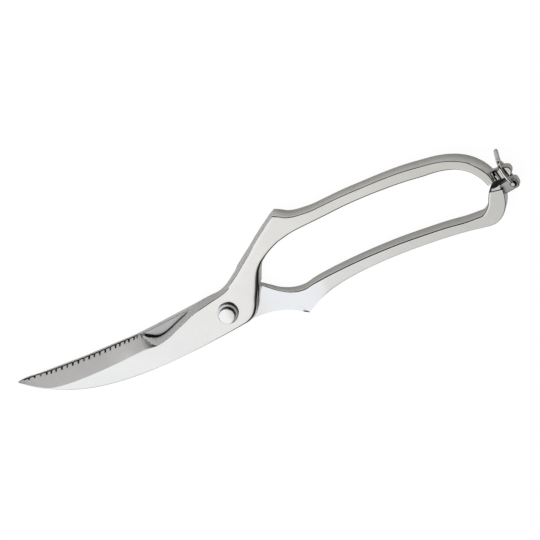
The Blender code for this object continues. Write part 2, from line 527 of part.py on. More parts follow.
def rear_half():
    """Upper blade, lower grip and its lug."""
    half = half_body("rear_half", REAR, -1, STEEL_REAR)
    boolean(half, plate("rear_lug", REAR_LUG, -LUG_HALF, LUG_HALF, chamfer=LUG_CHAMFER,
                        rounding=0.45), "UNION")
    boolean(half, plate("end_plug", END_PLUG, -HALF + 0.4, 1.0, rounding=0.3), "UNION")
    boolean(half, plate("end_facet", END_FACET, -HALF + 0.5, HALF - 0.75, rounding=0.4), "UNION")
    boolean(half, disc("bail_sink", BAIL_SINK_R, LUG_HALF - BAIL_SINK_DEPTH, HALF,
                       centre=BAIL_AT, sides=32))
    boolean(half, disc("rear_bore", HALF_BORE_R, -HALF - OVER, OVER))
    boolean(half, disc("rear_well", WELL_R, -WELL_REAR, OVER))
    boolean(half, disc("nut_well", NUT_R + 0.15, -HALF - OVER, NUT_TOP + 0.1))
    boolean(half, plate("rear_leg_slot", LEG_SLOT, -WELL_REAR, OVER))
    boolean(half, disc("stop_bore", STOP_PIN_R + 0.04, STOP_PIN_LOW - 0.05, OVER,
                       centre=STOP_AT, sides=32))
    boolean(half, disc("bail_bore", WIRE_R + 0.07, -4, 4, centre=BAIL_AT, sides=32))


# ---- joint
def pivot_stack():
    turned("pivot_screw", [
        (0.0, -HALF + 0.6), (SHANK_R, -HALF + 0.6), (SHANK_R, HEAD_LOW),
        (HEAD_FOOT_R, HEAD_LOW), (HEAD_R, HEAD_LOW + 0.15), (HEAD_R, HEAD_TOP - 0.5),
        (HEAD_R - 0.12, HEAD_TOP - 0.28), (HEAD_R - 0.4, HEAD_TOP - 0.16),
        (HEAD_R / 2, HEAD_TOP - 0.04), (0.0, HEAD_TOP)], SCREW_STEEL)
    washer_bore = SHANK_R + 0.1
    turned("head_washer", [
        (washer_bore, WASHER_LOW), (WASHER_R - 0.1, WASHER_LOW), (WASHER_R, WASHER_LOW + 0.1),
        (WASHER_R, WASHER_TOP - 0.35), (WASHER_R - 0.1, WASHER_TOP - 0.25),
        (HEAD_FOOT_R, WASHER_TOP), (washer_bore, WASHER_TOP)], WASHER_STEEL, closed=True)
    bush_low = NUT_TOP + 0.15
    turned("pivot_bush", [
        (BUSH_BORE_R, bush_low), (BUSH_R, bush_low), (BUSH_R, HALF), (BUSH_BORE_R, HALF)],
        BUSH_BRASS, closed=True)
    nut_bore = SHANK_R + CLEARANCE
    turned("pivot_nut", [
        (0.0, NUT_LOW + 0.45), (nut_bore, NUT_LOW + 0.45), (nut_bore, NUT_TOP), (NUT_R, NUT_TOP),
        (NUT_R, NUT_LOW + 0.3), (NUT_R - 0.3, NUT_LOW), (0.0, NUT_LOW)], NUT_STEEL)


def stop_pin():
    disc("stop_pin", STOP_PIN_R, STOP_PIN_LOW, WELL_FRONT - 0.3, SHEARS, PIN_STEEL,
         centre=STOP_AT, sides=32)


def torsion_spring():
    """A leg in the rear half's slot, the coils round the bush, a leg in the front half's slot."""
    path = [(x, y, SPRING_LOW) for x, y in SPRING_LEG]
    first = 2       # the coil leaves out the steps the legs bend through
    for k in range(first, int(SPRING_TURNS * SPRING_STEPS) - 1):
        angle = 2 * math.pi * k / SPRING_STEPS
        path.append((SPRING_R * math.cos(angle), SPRING_R * math.sin(angle),
                     SPRING_LOW + SPRING_PITCH * (k - first) / SPRING_STEPS))
    top = path[-1][2] + SPRING_END_RISE
    path += [(-x, y, top) for x, y in reversed(SPRING_LEG)]
    tube("torsion_spring", path, SPRING_WIRE_R, SHEARS, SPRING_STEEL, sides=10)


# ---- latch
def latch_bail():
    """Two wire legs either side of the lugs, their peened ends, and a flat thumb tab between."""
    front_leg = curve(BAIL_PATH, BAIL_STEPS_PER_SPAN)
    rear_leg = [(x, y, -z) for x, y, z in reversed(front_leg)]
    bail = tube("latch_bail", front_leg, WIRE_R, SHEARS, WIRE_STEEL)
    boolean(bail, tube("bail_back_leg", rear_leg, WIRE_R, CUTTERS), "UNION")
    boolean(bail, plate("bail_tab", TAB, -TAB_HALF, TAB_HALF, chamfer=0.2, rounding=0.7), "UNION")
    bail_x, bail_y = BAIL_AT
    for name, low, high in (("bail_end_front", PEEN_LOW, PEEN_TOP),
                            ("bail_end_back", -PEEN_TOP, -PEEN_LOW)):
        boolean(bail, disc(name, PEEN_R, low, high, centre=(bail_x, bail_y + PEEN_SHIFT_Y),
                           sides=24), "UNION")
    # Its origin stands on the hinge line through the rear lug.
    for vertex in bail.data.vertices:
        vertex.co.x -= bail_x * MM
        vertex.co.y -= bail_y * MM
    bail.location = (bail_x * MM, bail_y * MM, 0.0)


front_half()
rear_half()
pivot_stack()
stop_pin()
torsion_spring()
latch_bail()
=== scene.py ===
# Poultry shears with a wire latch bail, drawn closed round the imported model.
# Row frame: origin on the pivot axis in the plane the closed shears rest on, +X along the shears towards
# the latch, +Y towards the upper grip, +Z up through the thickness. Lengths in the tables are millimetres
# and heights are measured from the mid-plane; at() turns them into the row frame's metres.
import math

import bpy
import bmesh
import numpy as np
from mathutils import Matrix, Vector


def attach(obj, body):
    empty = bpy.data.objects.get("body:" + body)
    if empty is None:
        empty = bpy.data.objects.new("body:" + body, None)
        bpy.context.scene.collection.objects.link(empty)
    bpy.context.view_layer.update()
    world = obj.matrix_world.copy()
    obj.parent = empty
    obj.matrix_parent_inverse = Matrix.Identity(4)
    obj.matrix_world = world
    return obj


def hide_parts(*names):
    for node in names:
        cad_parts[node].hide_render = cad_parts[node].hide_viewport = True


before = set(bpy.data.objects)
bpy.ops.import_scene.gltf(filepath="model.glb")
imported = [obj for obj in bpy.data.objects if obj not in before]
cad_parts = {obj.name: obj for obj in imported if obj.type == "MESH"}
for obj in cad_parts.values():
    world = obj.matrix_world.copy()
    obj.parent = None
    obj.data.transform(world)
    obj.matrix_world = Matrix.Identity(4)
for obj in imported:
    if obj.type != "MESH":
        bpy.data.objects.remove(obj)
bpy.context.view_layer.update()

MM = 0.001
HALF = 4.75  # half the thickness of the closed shears
GAP = 0.15  # from the mid-plane to each half's inner face
OPEN_DEG = 36.0
STEP_R = 20.2  # round step under the front half
BORE_R = 3.36
WELL_R, WELL_FRONT, WELL_REAR = 5.6, 2.2, 1.6  # spring well: radius, and its depth in each half
STOP_R, STOP_AT_DEG, STOP_PIN_R = 10.4, 200.0, 1.5
STOP_PLAY_DEG = 9.5  # extra length at each end of the stop slot
SHANK_R = 2.45
WASHER_R, WASHER_T = 4.9, 1.7
HEAD_R, HEAD_TOP = 3.9, 2.75
NUT_R, NUT_T = 4.6, 2.2
SPRING_WIRE_R = 0.42
LUG_HALF = 2.5
BAIL_AT = (148.7, 12.9)  # where the bail's legs enter the rear lug
WIRE_R = 0.8
BAIL_LEG_Z = LUG_HALF + WIRE_R + 0.15

# Stations of each half, from the point to the end of the grip. Columns: kind; in plan the edge (cutting
# edge, then the outer edge), the end of the ground bevel or chamfer, and the spine (then the inner edge);
# the height of the flat face; the height of the inner face; the rounding at the spine. Notch stations
# add two middle points of the bevel, each a fraction from edge to bevel end and a height. Heights of the
# rear half are mirrored.
FRONT = [
    ("blade", (-106.6, 0.4), (-106.3, -0.2), (-106.2, -0.5), 0.6, GAP, 0.12),
    ("blade", (-105.0, 0.5), (-104.9, -1.0), (-104.8, -1.3), 0.9, GAP, 0.12),
    ("blade", (-102.0, 0.6), (-101.8, -3.0), (-101.7, -3.4), 1.3, GAP, 0.2),
    ("blade", (-98.0, 0.8), (-97.7, -5.3), (-97.6, -5.7), 1.7, GAP, 0.2),
    ("blade", (-93.5, 0.7), (-93.3, -7.1), (-93.2, -7.7), 2.1, GAP, 0.25),
    ("blade", (-88.0, 0.7), (-88.0, -7.8), (-88.0, -9.8), 2.35, GAP, 0.3),
    ("blade", (-82.0, 0.85), (-82.3, -7.9), (-82.4, -11.7), 2.6, GAP, 0.45),
    ("blade", (-75.0, 1.1), (-75.2, -7.6), (-75.5, -13.3), 2.85, GAP, 0.45),
    ("blade", (-65.0, 1.6), (-65.3, -6.8), (-65.9, -14.5), 3.2, GAP, 0.45),
    ("blade", (-56.0, 2.3), (-56.3, -5.8), (-56.0, -14.9), 3.5, GAP, 0.45),
    ("blade", (-49.0, 2.7), (-49.3, -4.8), (-49.5, -14.8), 3.75, GAP, 0.45),
    ("notch_start", (-43.9, 3.1), (-43.9, -4.1), (-45.0, -14.6), 3.9, GAP, 0.45),
    ("notch", (-42.9, 2.8), (-42.7, -4.1), (-43.3, -14.45), 3.94, GAP, 0.3, 0.1, 0.95, 0.29, 1.43),
    ("notch", (-41.5, 1.95), (-41.4, -4.1), (-41.5, -14.3), 3.98, GAP, 0.3, 0.15, 1.55, 0.58, 2.5),
    ("notch", (-39.55, 0.9), (-39.5, -4.15), (-39.5, -14.15), 4.03, GAP, 0.3, 0.2, 2.15, 0.78, 3.2),
    ("notch", (-37.6, -0.25), (-37.6, -4.1), (-37.4, -14.0), 4.1, GAP, 0.3, 0.2, 2.55, 0.9, 3.75),
    ("notch", (-35.2, -0.7), (-35.2, -3.75), (-34.8, -13.75), 4.18, GAP, 0.3, 0.17, 2.7, 0.6, 3.48),
    ("notch", (-32.5, -0.2), (-32.5, -2.9), (-32.0, -13.45), 4.25, GAP, 0.3, 0.25, 2.8, 0.6, 3.48),
    ("notch", (-29.4, 0.95), (-29.5, -1.8), (-28.8, -13.0), 4.35, GAP, 0.3, 0.27, 2.9, 0.62, 3.6),
    ("notch", (-26.3, 2.25), (-26.4, -0.3), (-25.6, -12.6), 4.43, GAP, 0.3, 0.2, 3.0, 0.6, 3.72),
    ("notch", (-23.2, 3.6), (-23.2, 1.15), (-22.3, -12.2), 4.55, GAP, 0.35, 0.12, 3.0, 0.55, 3.77),
    ("notch", (-20.2, 4.85), (-20.1, 2.6), (-19.2, -11.8), 4.65, GAP, 0.4, 0.12, 2.6, 0.55, 3.62),
    ("notch", (-17.0, 6.4), (-16.8, 4.15), (-16.0, -11.35), 4.72, GAP, 0.4, 0.14, 2.2, 0.55, 3.45),
    ("notch", (-14.0, 7.6), (-13.9, 5.2), (-13.0, -10.85), HALF, GAP, 0.4, 0.16, 2.0, 0.55, 3.4),
    ("hub", (-11.0, 8.6), (-11.2, 5.9), (-10.0, -10.4), HALF, GAP, 0.55),
    ("hub", (-5.6, 9.5), (-5.8, 7.4), (-4.5, -9.6), HALF, GAP, 0.65),
    ("hub", (-0.2, 10.3), (0.2, 9.0), (3.9, -8.2), HALF, GAP, 0.9),
    ("hub", (2.9, 11.65), (3.2, 10.0), (7.9, -7.5), HALF, GAP, 1.4),
    ("hub_low", (4.5, 12.6), (4.8, 10.95), (11.0, -6.1), HALF, -HALF, 2.1),
    ("neck", (6.0, 13.7), (6.4, 12.35), (13.4, -3.5), HALF, -HALF, 2.6),
    ("neck", (7.6, 14.85), (8.0, 13.4), (15.7, 1.0), HALF, -HALF, 2.7),
    ("neck", (9.2, 16.1), (9.7, 14.55), (17.6, 4.5), HALF, -HALF, 2.7),
    ("neck", (12.6, 18.75), (13.1, 17.2), (20.3, 10.4), HALF, -HALF, 2.5),
    ("neck", (16.3, 21.6), (16.9, 20.3), (22.1, 14.2), HALF, -HALF, 2.0),
    ("neck", (20.3, 24.65), (20.9, 23.5), (24.2, 17.1), HALF, -HALF, 1.5),
    ("neck", (24.2, 27.8), (24.7, 26.9), (26.9, 19.5), HALF, -HALF, 1.1),
    ("neck", (28.0, 30.7), (28.4, 29.9), (30.0, 21.6), HALF, -HALF, 0.9),
    ("neck", (31.6, 33.3), (31.9, 32.4), (32.8, 23.1), HALF, -HALF, 0.9),
    ("neck", (35.0, 35.7), (35.2, 35.0), (35.4, 24.3), HALF, -HALF, 0.9),
    ("spur", (37.9, 37.4), (37.9, 36.7), (37.6, 25.0), HALF, -HALF, 0.9),
    ("grip", (40.6, 36.2), (40.5, 35.8), (40.0, 25.7), HALF, -HALF, 0.9),
    ("grip", (43.8, 34.5), (43.7, 34.1), (43.2, 26.5), HALF, -HALF, 0.9),
    ("grip", (47.1, 33.8), (47.1, 33.4), (46.8, 27.1), HALF, -HALF, 0.9),
    ("grip", (50.5, 33.6), (50.5, 33.2), (50.6, 27.6), HALF, -HALF, 0.9),
    ("grip", (55.6, 33.6), (55.6, 33.15), (55.8, 28.2), HALF, -HALF, 0.9),
    ("grip", (61.0, 34.2), (61.0, 33.75), (61.2, 28.9), HALF, -HALF, 0.9),
    ("grip", (71.6, 35.4), (71.6, 34.95), (72.0, 30.3), HALF, -HALF, 0.9),
    ("grip", (81.9, 36.1), (81.9, 35.65), (82.0, 31.1), HALF, -HALF, 0.9),
    ("grip", (92.0, 36.7), (92.0, 36.25), (92.0, 31.5), HALF, -HALF, 0.9),
    ("grip", (102.5, 36.9), (102.5, 36.45), (102.2, 31.55), HALF, -HALF, 0.9),
    ("grip", (112.0, 36.4), (112.0, 35.95), (111.4, 31.1), HALF, -HALF, 0.9),
    ("grip", (119.0, 35.8), (118.9, 35.4), (117.8, 30.95), HALF, -HALF, 0.9),
    ("grip", (124.6, 34.6), (124.5, 34.2), (122.9, 30.2), HALF, -HALF, 0.9),
    ("grip", (129.0, 33.0), (128.8, 32.6), (126.8, 29.1), HALF, -HALF, 0.9),
    ("grip", (132.9, 30.8), (132.6, 30.5), (130.2, 27.2), HALF, -HALF, 0.9),
    ("grip_end", (136.3, 27.9), (135.8, 27.4), (133.0, 24.8), HALF, -HALF, 0.9),
    ("grip_end", (139.0, 24.5), (138.3, 24.1), (135.3, 21.8), HALF, -HALF, 0.9),
    ("grip_end", (140.8, 20.9), (140.0, 20.6), (136.8, 18.9), HALF, -HALF, 0.9),
    ("grip_end", (141.3, 17.7), (140.5, 17.5), (137.7, 16.5), HALF, -HALF, 0.9),
]
REAR = [
    ("blade", (-106.0, -0.7), (-106.3, 0.0), (-106.5, 0.3), 0.6, GAP, 0.12),
    ("blade", (-104.5, -1.2), (-104.6, 0.2), (-104.7, 0.6), 0.9, GAP, 0.12),
    ("blade", (-101.0, -2.7), (-101.1, 0.3), (-101.2, 0.8), 1.3, GAP, 0.2),
    ("blade", (-96.0, -4.5), (-96.0, 0.2), (-96.2, 0.5), 1.7, GAP, 0.2),
    ("blade", (-90.0, -6.1), (-90.0, -0.5), (-90.0, 0.5), 2.1, GAP, 0.25),
    ("blade", (-82.0, -7.7), (-82.0, -1.9), (-82.0, 0.65), 2.5, GAP, 0.3),
    ("blade", (-74.0, -8.8), (-74.0, -2.7), (-74.2, 0.7), 2.85, GAP, 0.3),
    ("blade", (-65.0, -9.7), (-65.0, -3.3), (-65.3, 1.15), 3.2, GAP, 0.3),
    ("blade", (-56.0, -10.2), (-56.0, -3.7), (-56.5, 1.65), 3.5, GAP, 0.3),
    ("blade", (-47.0, -10.4), (-47.0, -3.9), (-47.5, 2.1), 3.8, GAP, 0.3),
    ("blade", (-38.5, -10.3), (-38.5, -4.0), (-39.0, 3.05), 4.1, GAP, 0.3),
    ("blade", (-31.0, -10.1), (-31.0, -4.2), (-31.5, 4.1), 4.35, GAP, 0.3),
    ("blade", (-24.0, -9.8), (-24.0, -5.0), (-24.5, 5.1), 4.6, GAP, 0.3),
    ("blade", (-18.0, -9.5), (-18.0, -6.6), (-18.5, 6.0), HALF, GAP, 0.3),
    ("grip", (-13.0, -9.2), (-13.0, -8.8), (-13.5, 6.8), HALF, GAP, 0.3),
    ("grip", (-7.0, -8.9), (-7.0, -8.5), (-7.5, 7.5), HALF, GAP, 0.3),
    ("grip", (-1.0, -8.6), (-1.0, -8.2), (-1.5, 8.4), HALF, GAP, 0.3),
    ("grip", (5.0, -8.35), (5.0, -7.95), (4.0, 9.3), HALF, GAP, 0.3),
    ("grip", (10.0, -8.1), (10.0, -7.7), (9.0, 9.6), HALF, GAP, 0.3),
    ("grip", (14.5, -8.0), (14.6, -7.6), (13.6, 8.85), HALF, GAP, 0.9),
    ("grip", (19.5, -8.3), (19.6, -7.9), (17.6, 6.6), HALF, 0.05, 2.2),
    ("grip", (24.4, -9.1), (24.5, -8.7), (21.5, 4.0), HALF, -0.6, 2.6),
    ("grip", (29.7, -11.1), (29.8, -10.7), (25.2, 1.35), HALF, -1.2, 2.4),
    ("grip", (33.0, -12.8), (33.0, -12.4), (28.7, -0.4), HALF, -1.9, 1.8),
    ("spur", (35.2, -13.6), (35.2, -13.1), (32.5, -1.55), HALF, -2.6, 1.3),
    ("grip", (38.6, -11.2), (38.6, -10.8), (37.2, -1.7), HALF, -3.6, 0.95),
    ("grip", (42.7, -8.7), (42.7, -8.3), (42.2, -0.35), HALF, -4.5, 0.9),
    ("grip", (48.8, -6.2), (48.8, -5.8), (48.9, 0.9), HALF, -HALF, 0.9),
    ("grip", (56.0, -4.2), (56.0, -3.8), (56.8, 2.0), HALF, -HALF, 0.9),
    ("grip", (65.5, -2.5), (65.5, -2.1), (66.0, 3.05), HALF, -HALF, 0.9),
    ("grip", (75.0, -1.4), (75.0, -1.0), (75.0, 3.8), HALF, -HALF, 0.9),
    ("grip", (88.0, -0.6), (88.0, -0.2), (88.0, 4.45), HALF, -HALF, 0.9),
    ("grip", (100.5, -0.4), (100.5, 0.0), (100.5, 4.5), HALF, -HALF, 0.9),
    ("grip", (112.0, -0.6), (112.0, -0.2), (112.0, 4.3), HALF, -HALF, 0.9),
    ("grip", (122.0, -1.2), (122.0, -0.8), (121.5, 3.7), HALF, -HALF, 0.9),
    ("grip", (128.5, -1.9), (128.4, -1.5), (126.2, 3.8), HALF, -HALF, 0.9),
    ("grip_wide", (133.6, -2.0), (133.2, -1.0), (129.6, 4.05), HALF, -HALF, 0.9),
    ("grip_wide", (137.9, 0.0), (136.8, 1.2), (131.9, 5.6), HALF, -HALF, 0.9),
    ("grip_wide", (141.2, 4.0), (139.3, 4.9), (134.0, 8.0), HALF, -HALF, 0.9),
    ("grip_wide", (142.9, 8.5), (140.9, 8.9), (135.5, 11.15), HALF, -HALF, 0.9),
    ("grip_wide", (143.5, 12.6), (141.3, 12.95), (136.7, 13.4), HALF, -HALF, 0.9),
]
SHARP = ("notch_start", "spur")  # stations where the edge and bevel curves turn a corner

# Plan outlines, (x, y).
FRONT_LUG = [(136.6, 19.2), (138.8, 23.0), (141.0, 21.5), (143.7, 21.5), (145.6, 22.1),
             (147.6, 22.1), (149.5, 21.5), (150.2, 20.4), (150.3, 19.0), (149.6, 17.6),
             (148.7, 16.95), (146.2, 16.7), (143.4, 16.7), (139.2, 16.9)]
FRONT_RECESS = [(141.25, 24.0), (144.2, 21.15), (144.45, 18.4), (144.9, 15.0), (141.0, 15.0),
                (141.5, 18.0)]
# A shallow groove beside the bail's leg, in near-black painted shadow of the leg.
LEG_SHADOW_GROOVE = [(146.9, 21.8), (147.6, 21.8), (148.75, 16.4), (148.1, 16.2)]
REAR_LUG = [(138.6, 10.5), (139.0, 12.9), (143.1, 14.8), (145.9, 15.45), (148.4, 15.35),
            (149.9, 15.35), (150.75, 14.5), (151.0, 12.9), (150.9, 11.1), (150.2, 10.65),
            (144.9, 9.7), (143.7, 9.6), (141.0, 9.0), (139.4, 8.6)]
# A near-black block in the gap between the grip ends: painted shade.
END_GAP_SHADE = [(138.0, 12.2), (137.9, 15.0), (140.05, 15.6), (144.1, 15.85), (145.6, 15.9),
            (145.6, 14.0), (142.0, 11.8)]
END_FACET = [(137.75, 13.3), (138.0, 13.8), (140.0, 14.4), (141.8, 14.75), (143.0, 15.4),
             (142.5, 13.1), (142.2, 11.0), (138.2, 11.6)]
TAB = [(145.95, 30.5), (146.8, 30.8), (147.45, 30.3), (147.5, 29.5), (147.15, 27.3), (146.9, 25.4),
       (146.75, 23.6), (146.5, 22.6), (144.75, 22.9), (144.7, 24.2), (145.05, 26.5), (145.35, 28.5),
       (145.7, 30.2)]
TAB_HALF = 0.9
TAB_PIT_AT, TAB_PIT_R, TAB_PIT_DEEP = (146.0, 26.3), 0.3, 0.3
# Centre line of the bail's front half, (x, y, height), from inside the rear lug to the tab.
BAIL_PATH = [(*BAIL_AT, 0.35), (*BAIL_AT, 2.3), (148.68, 13.0, 3.05), (148.3, 13.95, BAIL_LEG_Z),
             (146.45, 19.5, BAIL_LEG_Z), (146.2, 21.0, BAIL_LEG_Z), (146.0, 22.3, 3.2),
             (145.85, 23.1, 2.4), (145.75, 23.8, 1.3), (145.75, 24.6, 0.5)]

# Material slots of the forged halves. The satin and wall slots carry painted shade as well as their
# finish; the fourth slot is near-black painted shade for grooves, hollows, gaps and contact lines.
POLISHED, GROUND, SATIN_SHADED, PAINTED_SHADE, WALL, BAND = range(6)

# Ribs in the front recess: outline, top height, material.
RECESS_RIBS = [
    ([(141.8, 19.05), (142.35, 19.1), (142.9, 16.9), (142.3, 16.75)], 1.5, POLISHED),
    ([(140.75, 17.3), (141.6, 17.3), (141.45, 16.75), (140.5, 16.75)], 1.6, POLISHED),
    ([(142.3, 20.6), (142.65, 20.6), (143.4, 16.9), (143.05, 16.9)], 1.3, SATIN_SHADED),
    ([(143.5, 20.9), (143.8, 20.9), (144.5, 17.2), (144.2, 17.1)], 1.3, SATIN_SHADED),
]


def at(x, y, z):
    return (x * MM, y * MM, (z + HALF) * MM)


# ------------------------------------------------------------------ curves along a half
def tangents(points, sharp):
    n = len(points)
    gaps = np.maximum(np.linalg.norm(np.diff(points, axis=0), axis=1), 1e-6)
    before, after = np.zeros_like(points), np.zeros_like(points)
    for i in range(n):
        left = (points[i] - points[i - 1]) / gaps[i - 1] if i > 0 else None
        right = (points[i + 1] - points[i]) / gaps[i] if i < n - 1 else None
        if left is None or right is None or sharp[i]:
            before[i] = left if left is not None else right
            after[i] = right if right is not None else left
        else:
            before[i] = after[i] = (left * gaps[i] + right * gaps[i - 1]) / (gaps[i - 1] + gaps[i])
    return gaps, before, after


def hermite(t):
    """Weights of a span's start point, end point, start slope and end slope."""
    return 2 * t**3 - 3 * t**2 + 1, -2 * t**3 + 3 * t**2, t**3 - 2 * t**2 + t, t**3 - t**2


def spline(points, sharp, span, t):
    """Catmull-Rom with chord-length spacing, at parameter t of each span."""
    points = np.asarray(points, float)
    gaps, before, after = tangents(points, sharp)
    gap = gaps[span][:, None]
    h0, h1, h2, h3 = hermite(t[:, None])
    return (h0 * points[span] + h1 * points[span + 1]
            + h2 * gap * after[span] + h3 * gap * before[span + 1])


def steady(values, place, span, t):
    """Monotone cubic through a column of numbers, so nothing overshoots."""
    gaps = np.diff(place)
    slopes = np.diff(values) / gaps
    m = np.zeros(len(values))
    m[0], m[-1] = slopes[0], slopes[-1]
    for i in range(1, len(values) - 1):
        if slopes[i - 1] * slopes[i] > 0:
            w1, w2 = 2 * gaps[i] + gaps[i - 1], gaps[i] + 2 * gaps[i - 1]
            m[i] = (w1 + w2) / (w1 / slopes[i - 1] + w2 / slopes[i])
    h0, h1, h2, h3 = hermite(t)
    return h0 * values[span] + h1 * values[span + 1] + gaps[span] * (h2 * m[span] + h3 * m[span + 1])


def smooth(points, per_span):
    """A smooth curve through the points, with per_span steps between neighbours."""
    points = np.asarray(points, float)
    n = len(points) - 1
    span = np.repeat(np.arange(n), per_span)
    t = np.tile(np.arange(per_span) / per_span, n)
    return np.vstack([spline(points, [False] * len(points), span, t), points[-1:]])


def rounded(corners, setbacks, arc_steps, side_points, spread):
    """A closed profile with each corner rounded: corners is (n, stations, 3), setbacks (n, stations).
    side_points gives the inner points on the side after each corner, spread their spacing power.
    Returns the points and, for each, its corner and whether it is on the "arc" or the "side"."""
    n = len(corners)
    lengths = [np.linalg.norm(corners[(i + 1) % n] - corners[i], axis=1) for i in range(n)]
    arcs = []
    for i in range(n):
        before, after = lengths[i - 1], lengths[i]
        back = np.minimum(setbacks[i], 0.42 * before)
        fore = np.minimum(setbacks[i], 0.42 * after)
        u = (corners[i - 1] - corners[i]) / np.maximum(before, 1e-9)[:, None]
        v = (corners[(i + 1) % n] - corners[i]) / np.maximum(after, 1e-9)[:, None]
        cosine = np.clip((u * v).sum(1), -1, 1)
        weight = np.cos((math.pi - np.arccos(cosine)) / 2)
        start = corners[i] + u * back[:, None]
        end = corners[i] + v * fore[:, None]
        points = []
        for k in range(arc_steps[i] + 1):
            t = k / arc_steps[i]
            w0, w1, w2 = (1 - t) ** 2, 2 * t * (1 - t) * weight, t * t
            total = (w0 + w1 + w2)[:, None]
            points.append((start * w0 + corners[i] * w1[:, None] + end * w2) / total)
        arcs.append(points)
    points, labels = [], []
    for i in range(n):
        points += arcs[i]
        labels += [(i, "arc")] * len(arcs[i])
        start, end = arcs[i][-1], arcs[(i + 1) % n][0]
        for k in range(side_points[i]):
            t = ((k + 1) / (side_points[i] + 1)) ** spread[i]
            points.append(start + (end - start) * t)
            labels.append((i, "side"))
    return np.stack(points, 1), labels


# ------------------------------------------------------------------ mesh helpers
def link(name, mesh):
    made = bpy.data.objects.new(name, mesh)
    bpy.context.scene.collection.objects.link(made)
    return made


def mesh_object(name, verts, faces, mats, index=None):
    mesh = bpy.data.meshes.new(name)
    mesh.from_pydata(verts, [], faces)
    for mat in mats:
        mesh.materials.append(mat)
    if index is not None:
        mesh.polygons.foreach_set("material_index", np.asarray(index, np.int32))
    mesh.validate()
    mesh.update()
    return link(name, mesh)


def face_out(obj, split_caps=False):
    """Turns every face outwards, first cutting many-sided faces into triangles if asked."""
    bm = bmesh.new()
    bm.from_mesh(obj.data)
    if split_caps:
        bmesh.ops.triangulate(bm, faces=[f for f in bm.faces if len(f.verts) > 4])
    bmesh.ops.recalc_face_normals(bm, faces=bm.faces)
    bm.to_mesh(obj.data)
    bm.free()


def carve(target, cutters):
    """Applies each (cutter, how) to the target in turn and removes the cutters."""
    for cutter, how in cutters:
        step = target.modifiers.new(cutter.name, "BOOLEAN")
        step.operation = how
        step.solver = "MANIFOLD"
        step.object = cutter
    bpy.context.view_layer.update()
    graph = bpy.context.evaluated_depsgraph_get()
    made = bpy.data.meshes.new_from_object(target.evaluated_get(graph))
    target.modifiers.clear()
    target.data = made
    for cutter, _ in cutters:
        bpy.data.objects.remove(cutter, do_unlink=True)


def fit(piece, rides, node, crisp_deg=None):
    if crisp_deg is not None:
        piece.data.shade_smooth()
        piece.data.set_sharp_from_angle(angle=math.radians(crisp_deg))
    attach(piece, rides)
    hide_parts(node)


def disc(name, radius, low, high, mats, index=0, x=0.0, y=0.0, sides=128):
    bm = bmesh.new()
    bmesh.ops.create_cone(bm, cap_ends=True, segments=sides, radius1=radius * MM,
                          radius2=radius * MM, depth=(high - low) * MM)
    bmesh.ops.translate(bm, verts=bm.verts, vec=at(x, y, (low + high) / 2))
    for face in bm.faces:
        face.material_index = index
    mesh = bpy.data.meshes.new(name)
    bm.to_mesh(mesh)
    bm.free()
    for mat in mats:
        mesh.materials.append(mat)
    return link(name, mesh)


def round_outline(outline, radius):
    """An outline with its corners rounded."""
    steps = 5
    made = []
    n = len(outline)
    for i in range(n):
        p, before, after = (Vector(outline[k % n]) for k in (i, i - 1, i + 1))
        u, v = (before - p), (after - p)
        back = min(radius, u.length * 0.45, v.length * 0.45)
        start, end = p + u.normalized() * back, p + v.normalized() * back
        for k in range(steps + 1):
            t = k / steps
            made.append(start * (1 - t) ** 2 + p * 2 * t * (1 - t) + end * t * t)
    return [(q.x, q.y) for q in made]


def plate(name, outline, low, high, mats, index=0, rim=0.0, line=None, side=None):
    """An outline raised from low to high with softened rims, as concentric rings and two flat caps.
    With line and side, the rims take material line and the wall takes material side."""
    steps = 4
    outline = [Vector(p) for p in outline]
    n = len(outline)
    area = sum(outline[i - 1].x * outline[i].y - outline[i].x * outline[i - 1].y for i in range(n))
    if area < 0:
        outline.reverse()
    inward = []
    for i in range(n):
        d = (outline[(i + 1) % n] - outline[i - 1]).normalized()
        inward.append(Vector((-d.y, d.x)))
    levels = [(0.0, low), (0.0, high)]  # inset, height
    if rim:
        turns = [math.pi / 2 * k / steps for k in range(steps + 1)]
        levels = [(rim * (1 - math.sin(a)), low + rim * (1 - math.cos(a))) for a in turns]
        levels += [(rim * (1 - math.cos(a)), high - rim * (1 - math.sin(a))) for a in turns]
    verts, faces, marks = [], [], []
    for inset, height in levels:
        verts += [at(*(outline[i] + inward[i] * inset), height) for i in range(n)]
    for j in range(len(levels) - 1):
        mark = index
        if line is not None and (j < steps - 1 or j > steps + 1):
            mark = line
        elif side is not None and j >= steps:
            mark = side
        for i in range(n):
            k = (i + 1) % n
            faces.append((j * n + i, j * n + k, (j + 1) * n + k, (j + 1) * n + i))
            marks.append(mark)
    faces.append(tuple(reversed(range(n))))
    faces.append(tuple((len(levels) - 1) * n + i for i in range(n)))
    made = mesh_object(name, verts, faces, mats, marks + [index, index])
    face_out(made, split_caps=True)
    return made


def turned(name, profile, mats, sides=128, index=None, closed=False):
    """A solid of revolution about the pivot axis through (radius, height) points."""
    n = len(profile)
    verts, faces, marks, rings = [], [], [], []
    for r, z in profile:
        if r < 1e-9:
            rings.append([len(verts)])
            verts.append(at(0, 0, z))
        else:
            rings.append(list(range(len(verts), len(verts) + sides)))
            turns = (2 * math.pi * k / sides for k in range(sides))
            verts += [at(r * math.cos(a), r * math.sin(a), z) for a in turns]
    for j in range(n if closed else n - 1):
        a, b = rings[j], rings[(j + 1) % n]
        for k in range(sides):
            q = (k + 1) % sides
            if len(a) == 1:
                faces.append((a[0], b[k], b[q]))
            elif len(b) == 1:
                faces.append((a[k], b[0], a[q]))
            else:
                faces.append((a[k], b[k], b[q], a[q]))
            marks.append(index[j] if index else 0)
    made = mesh_object(name, verts, faces, mats, marks)
    face_out(made)
    return made


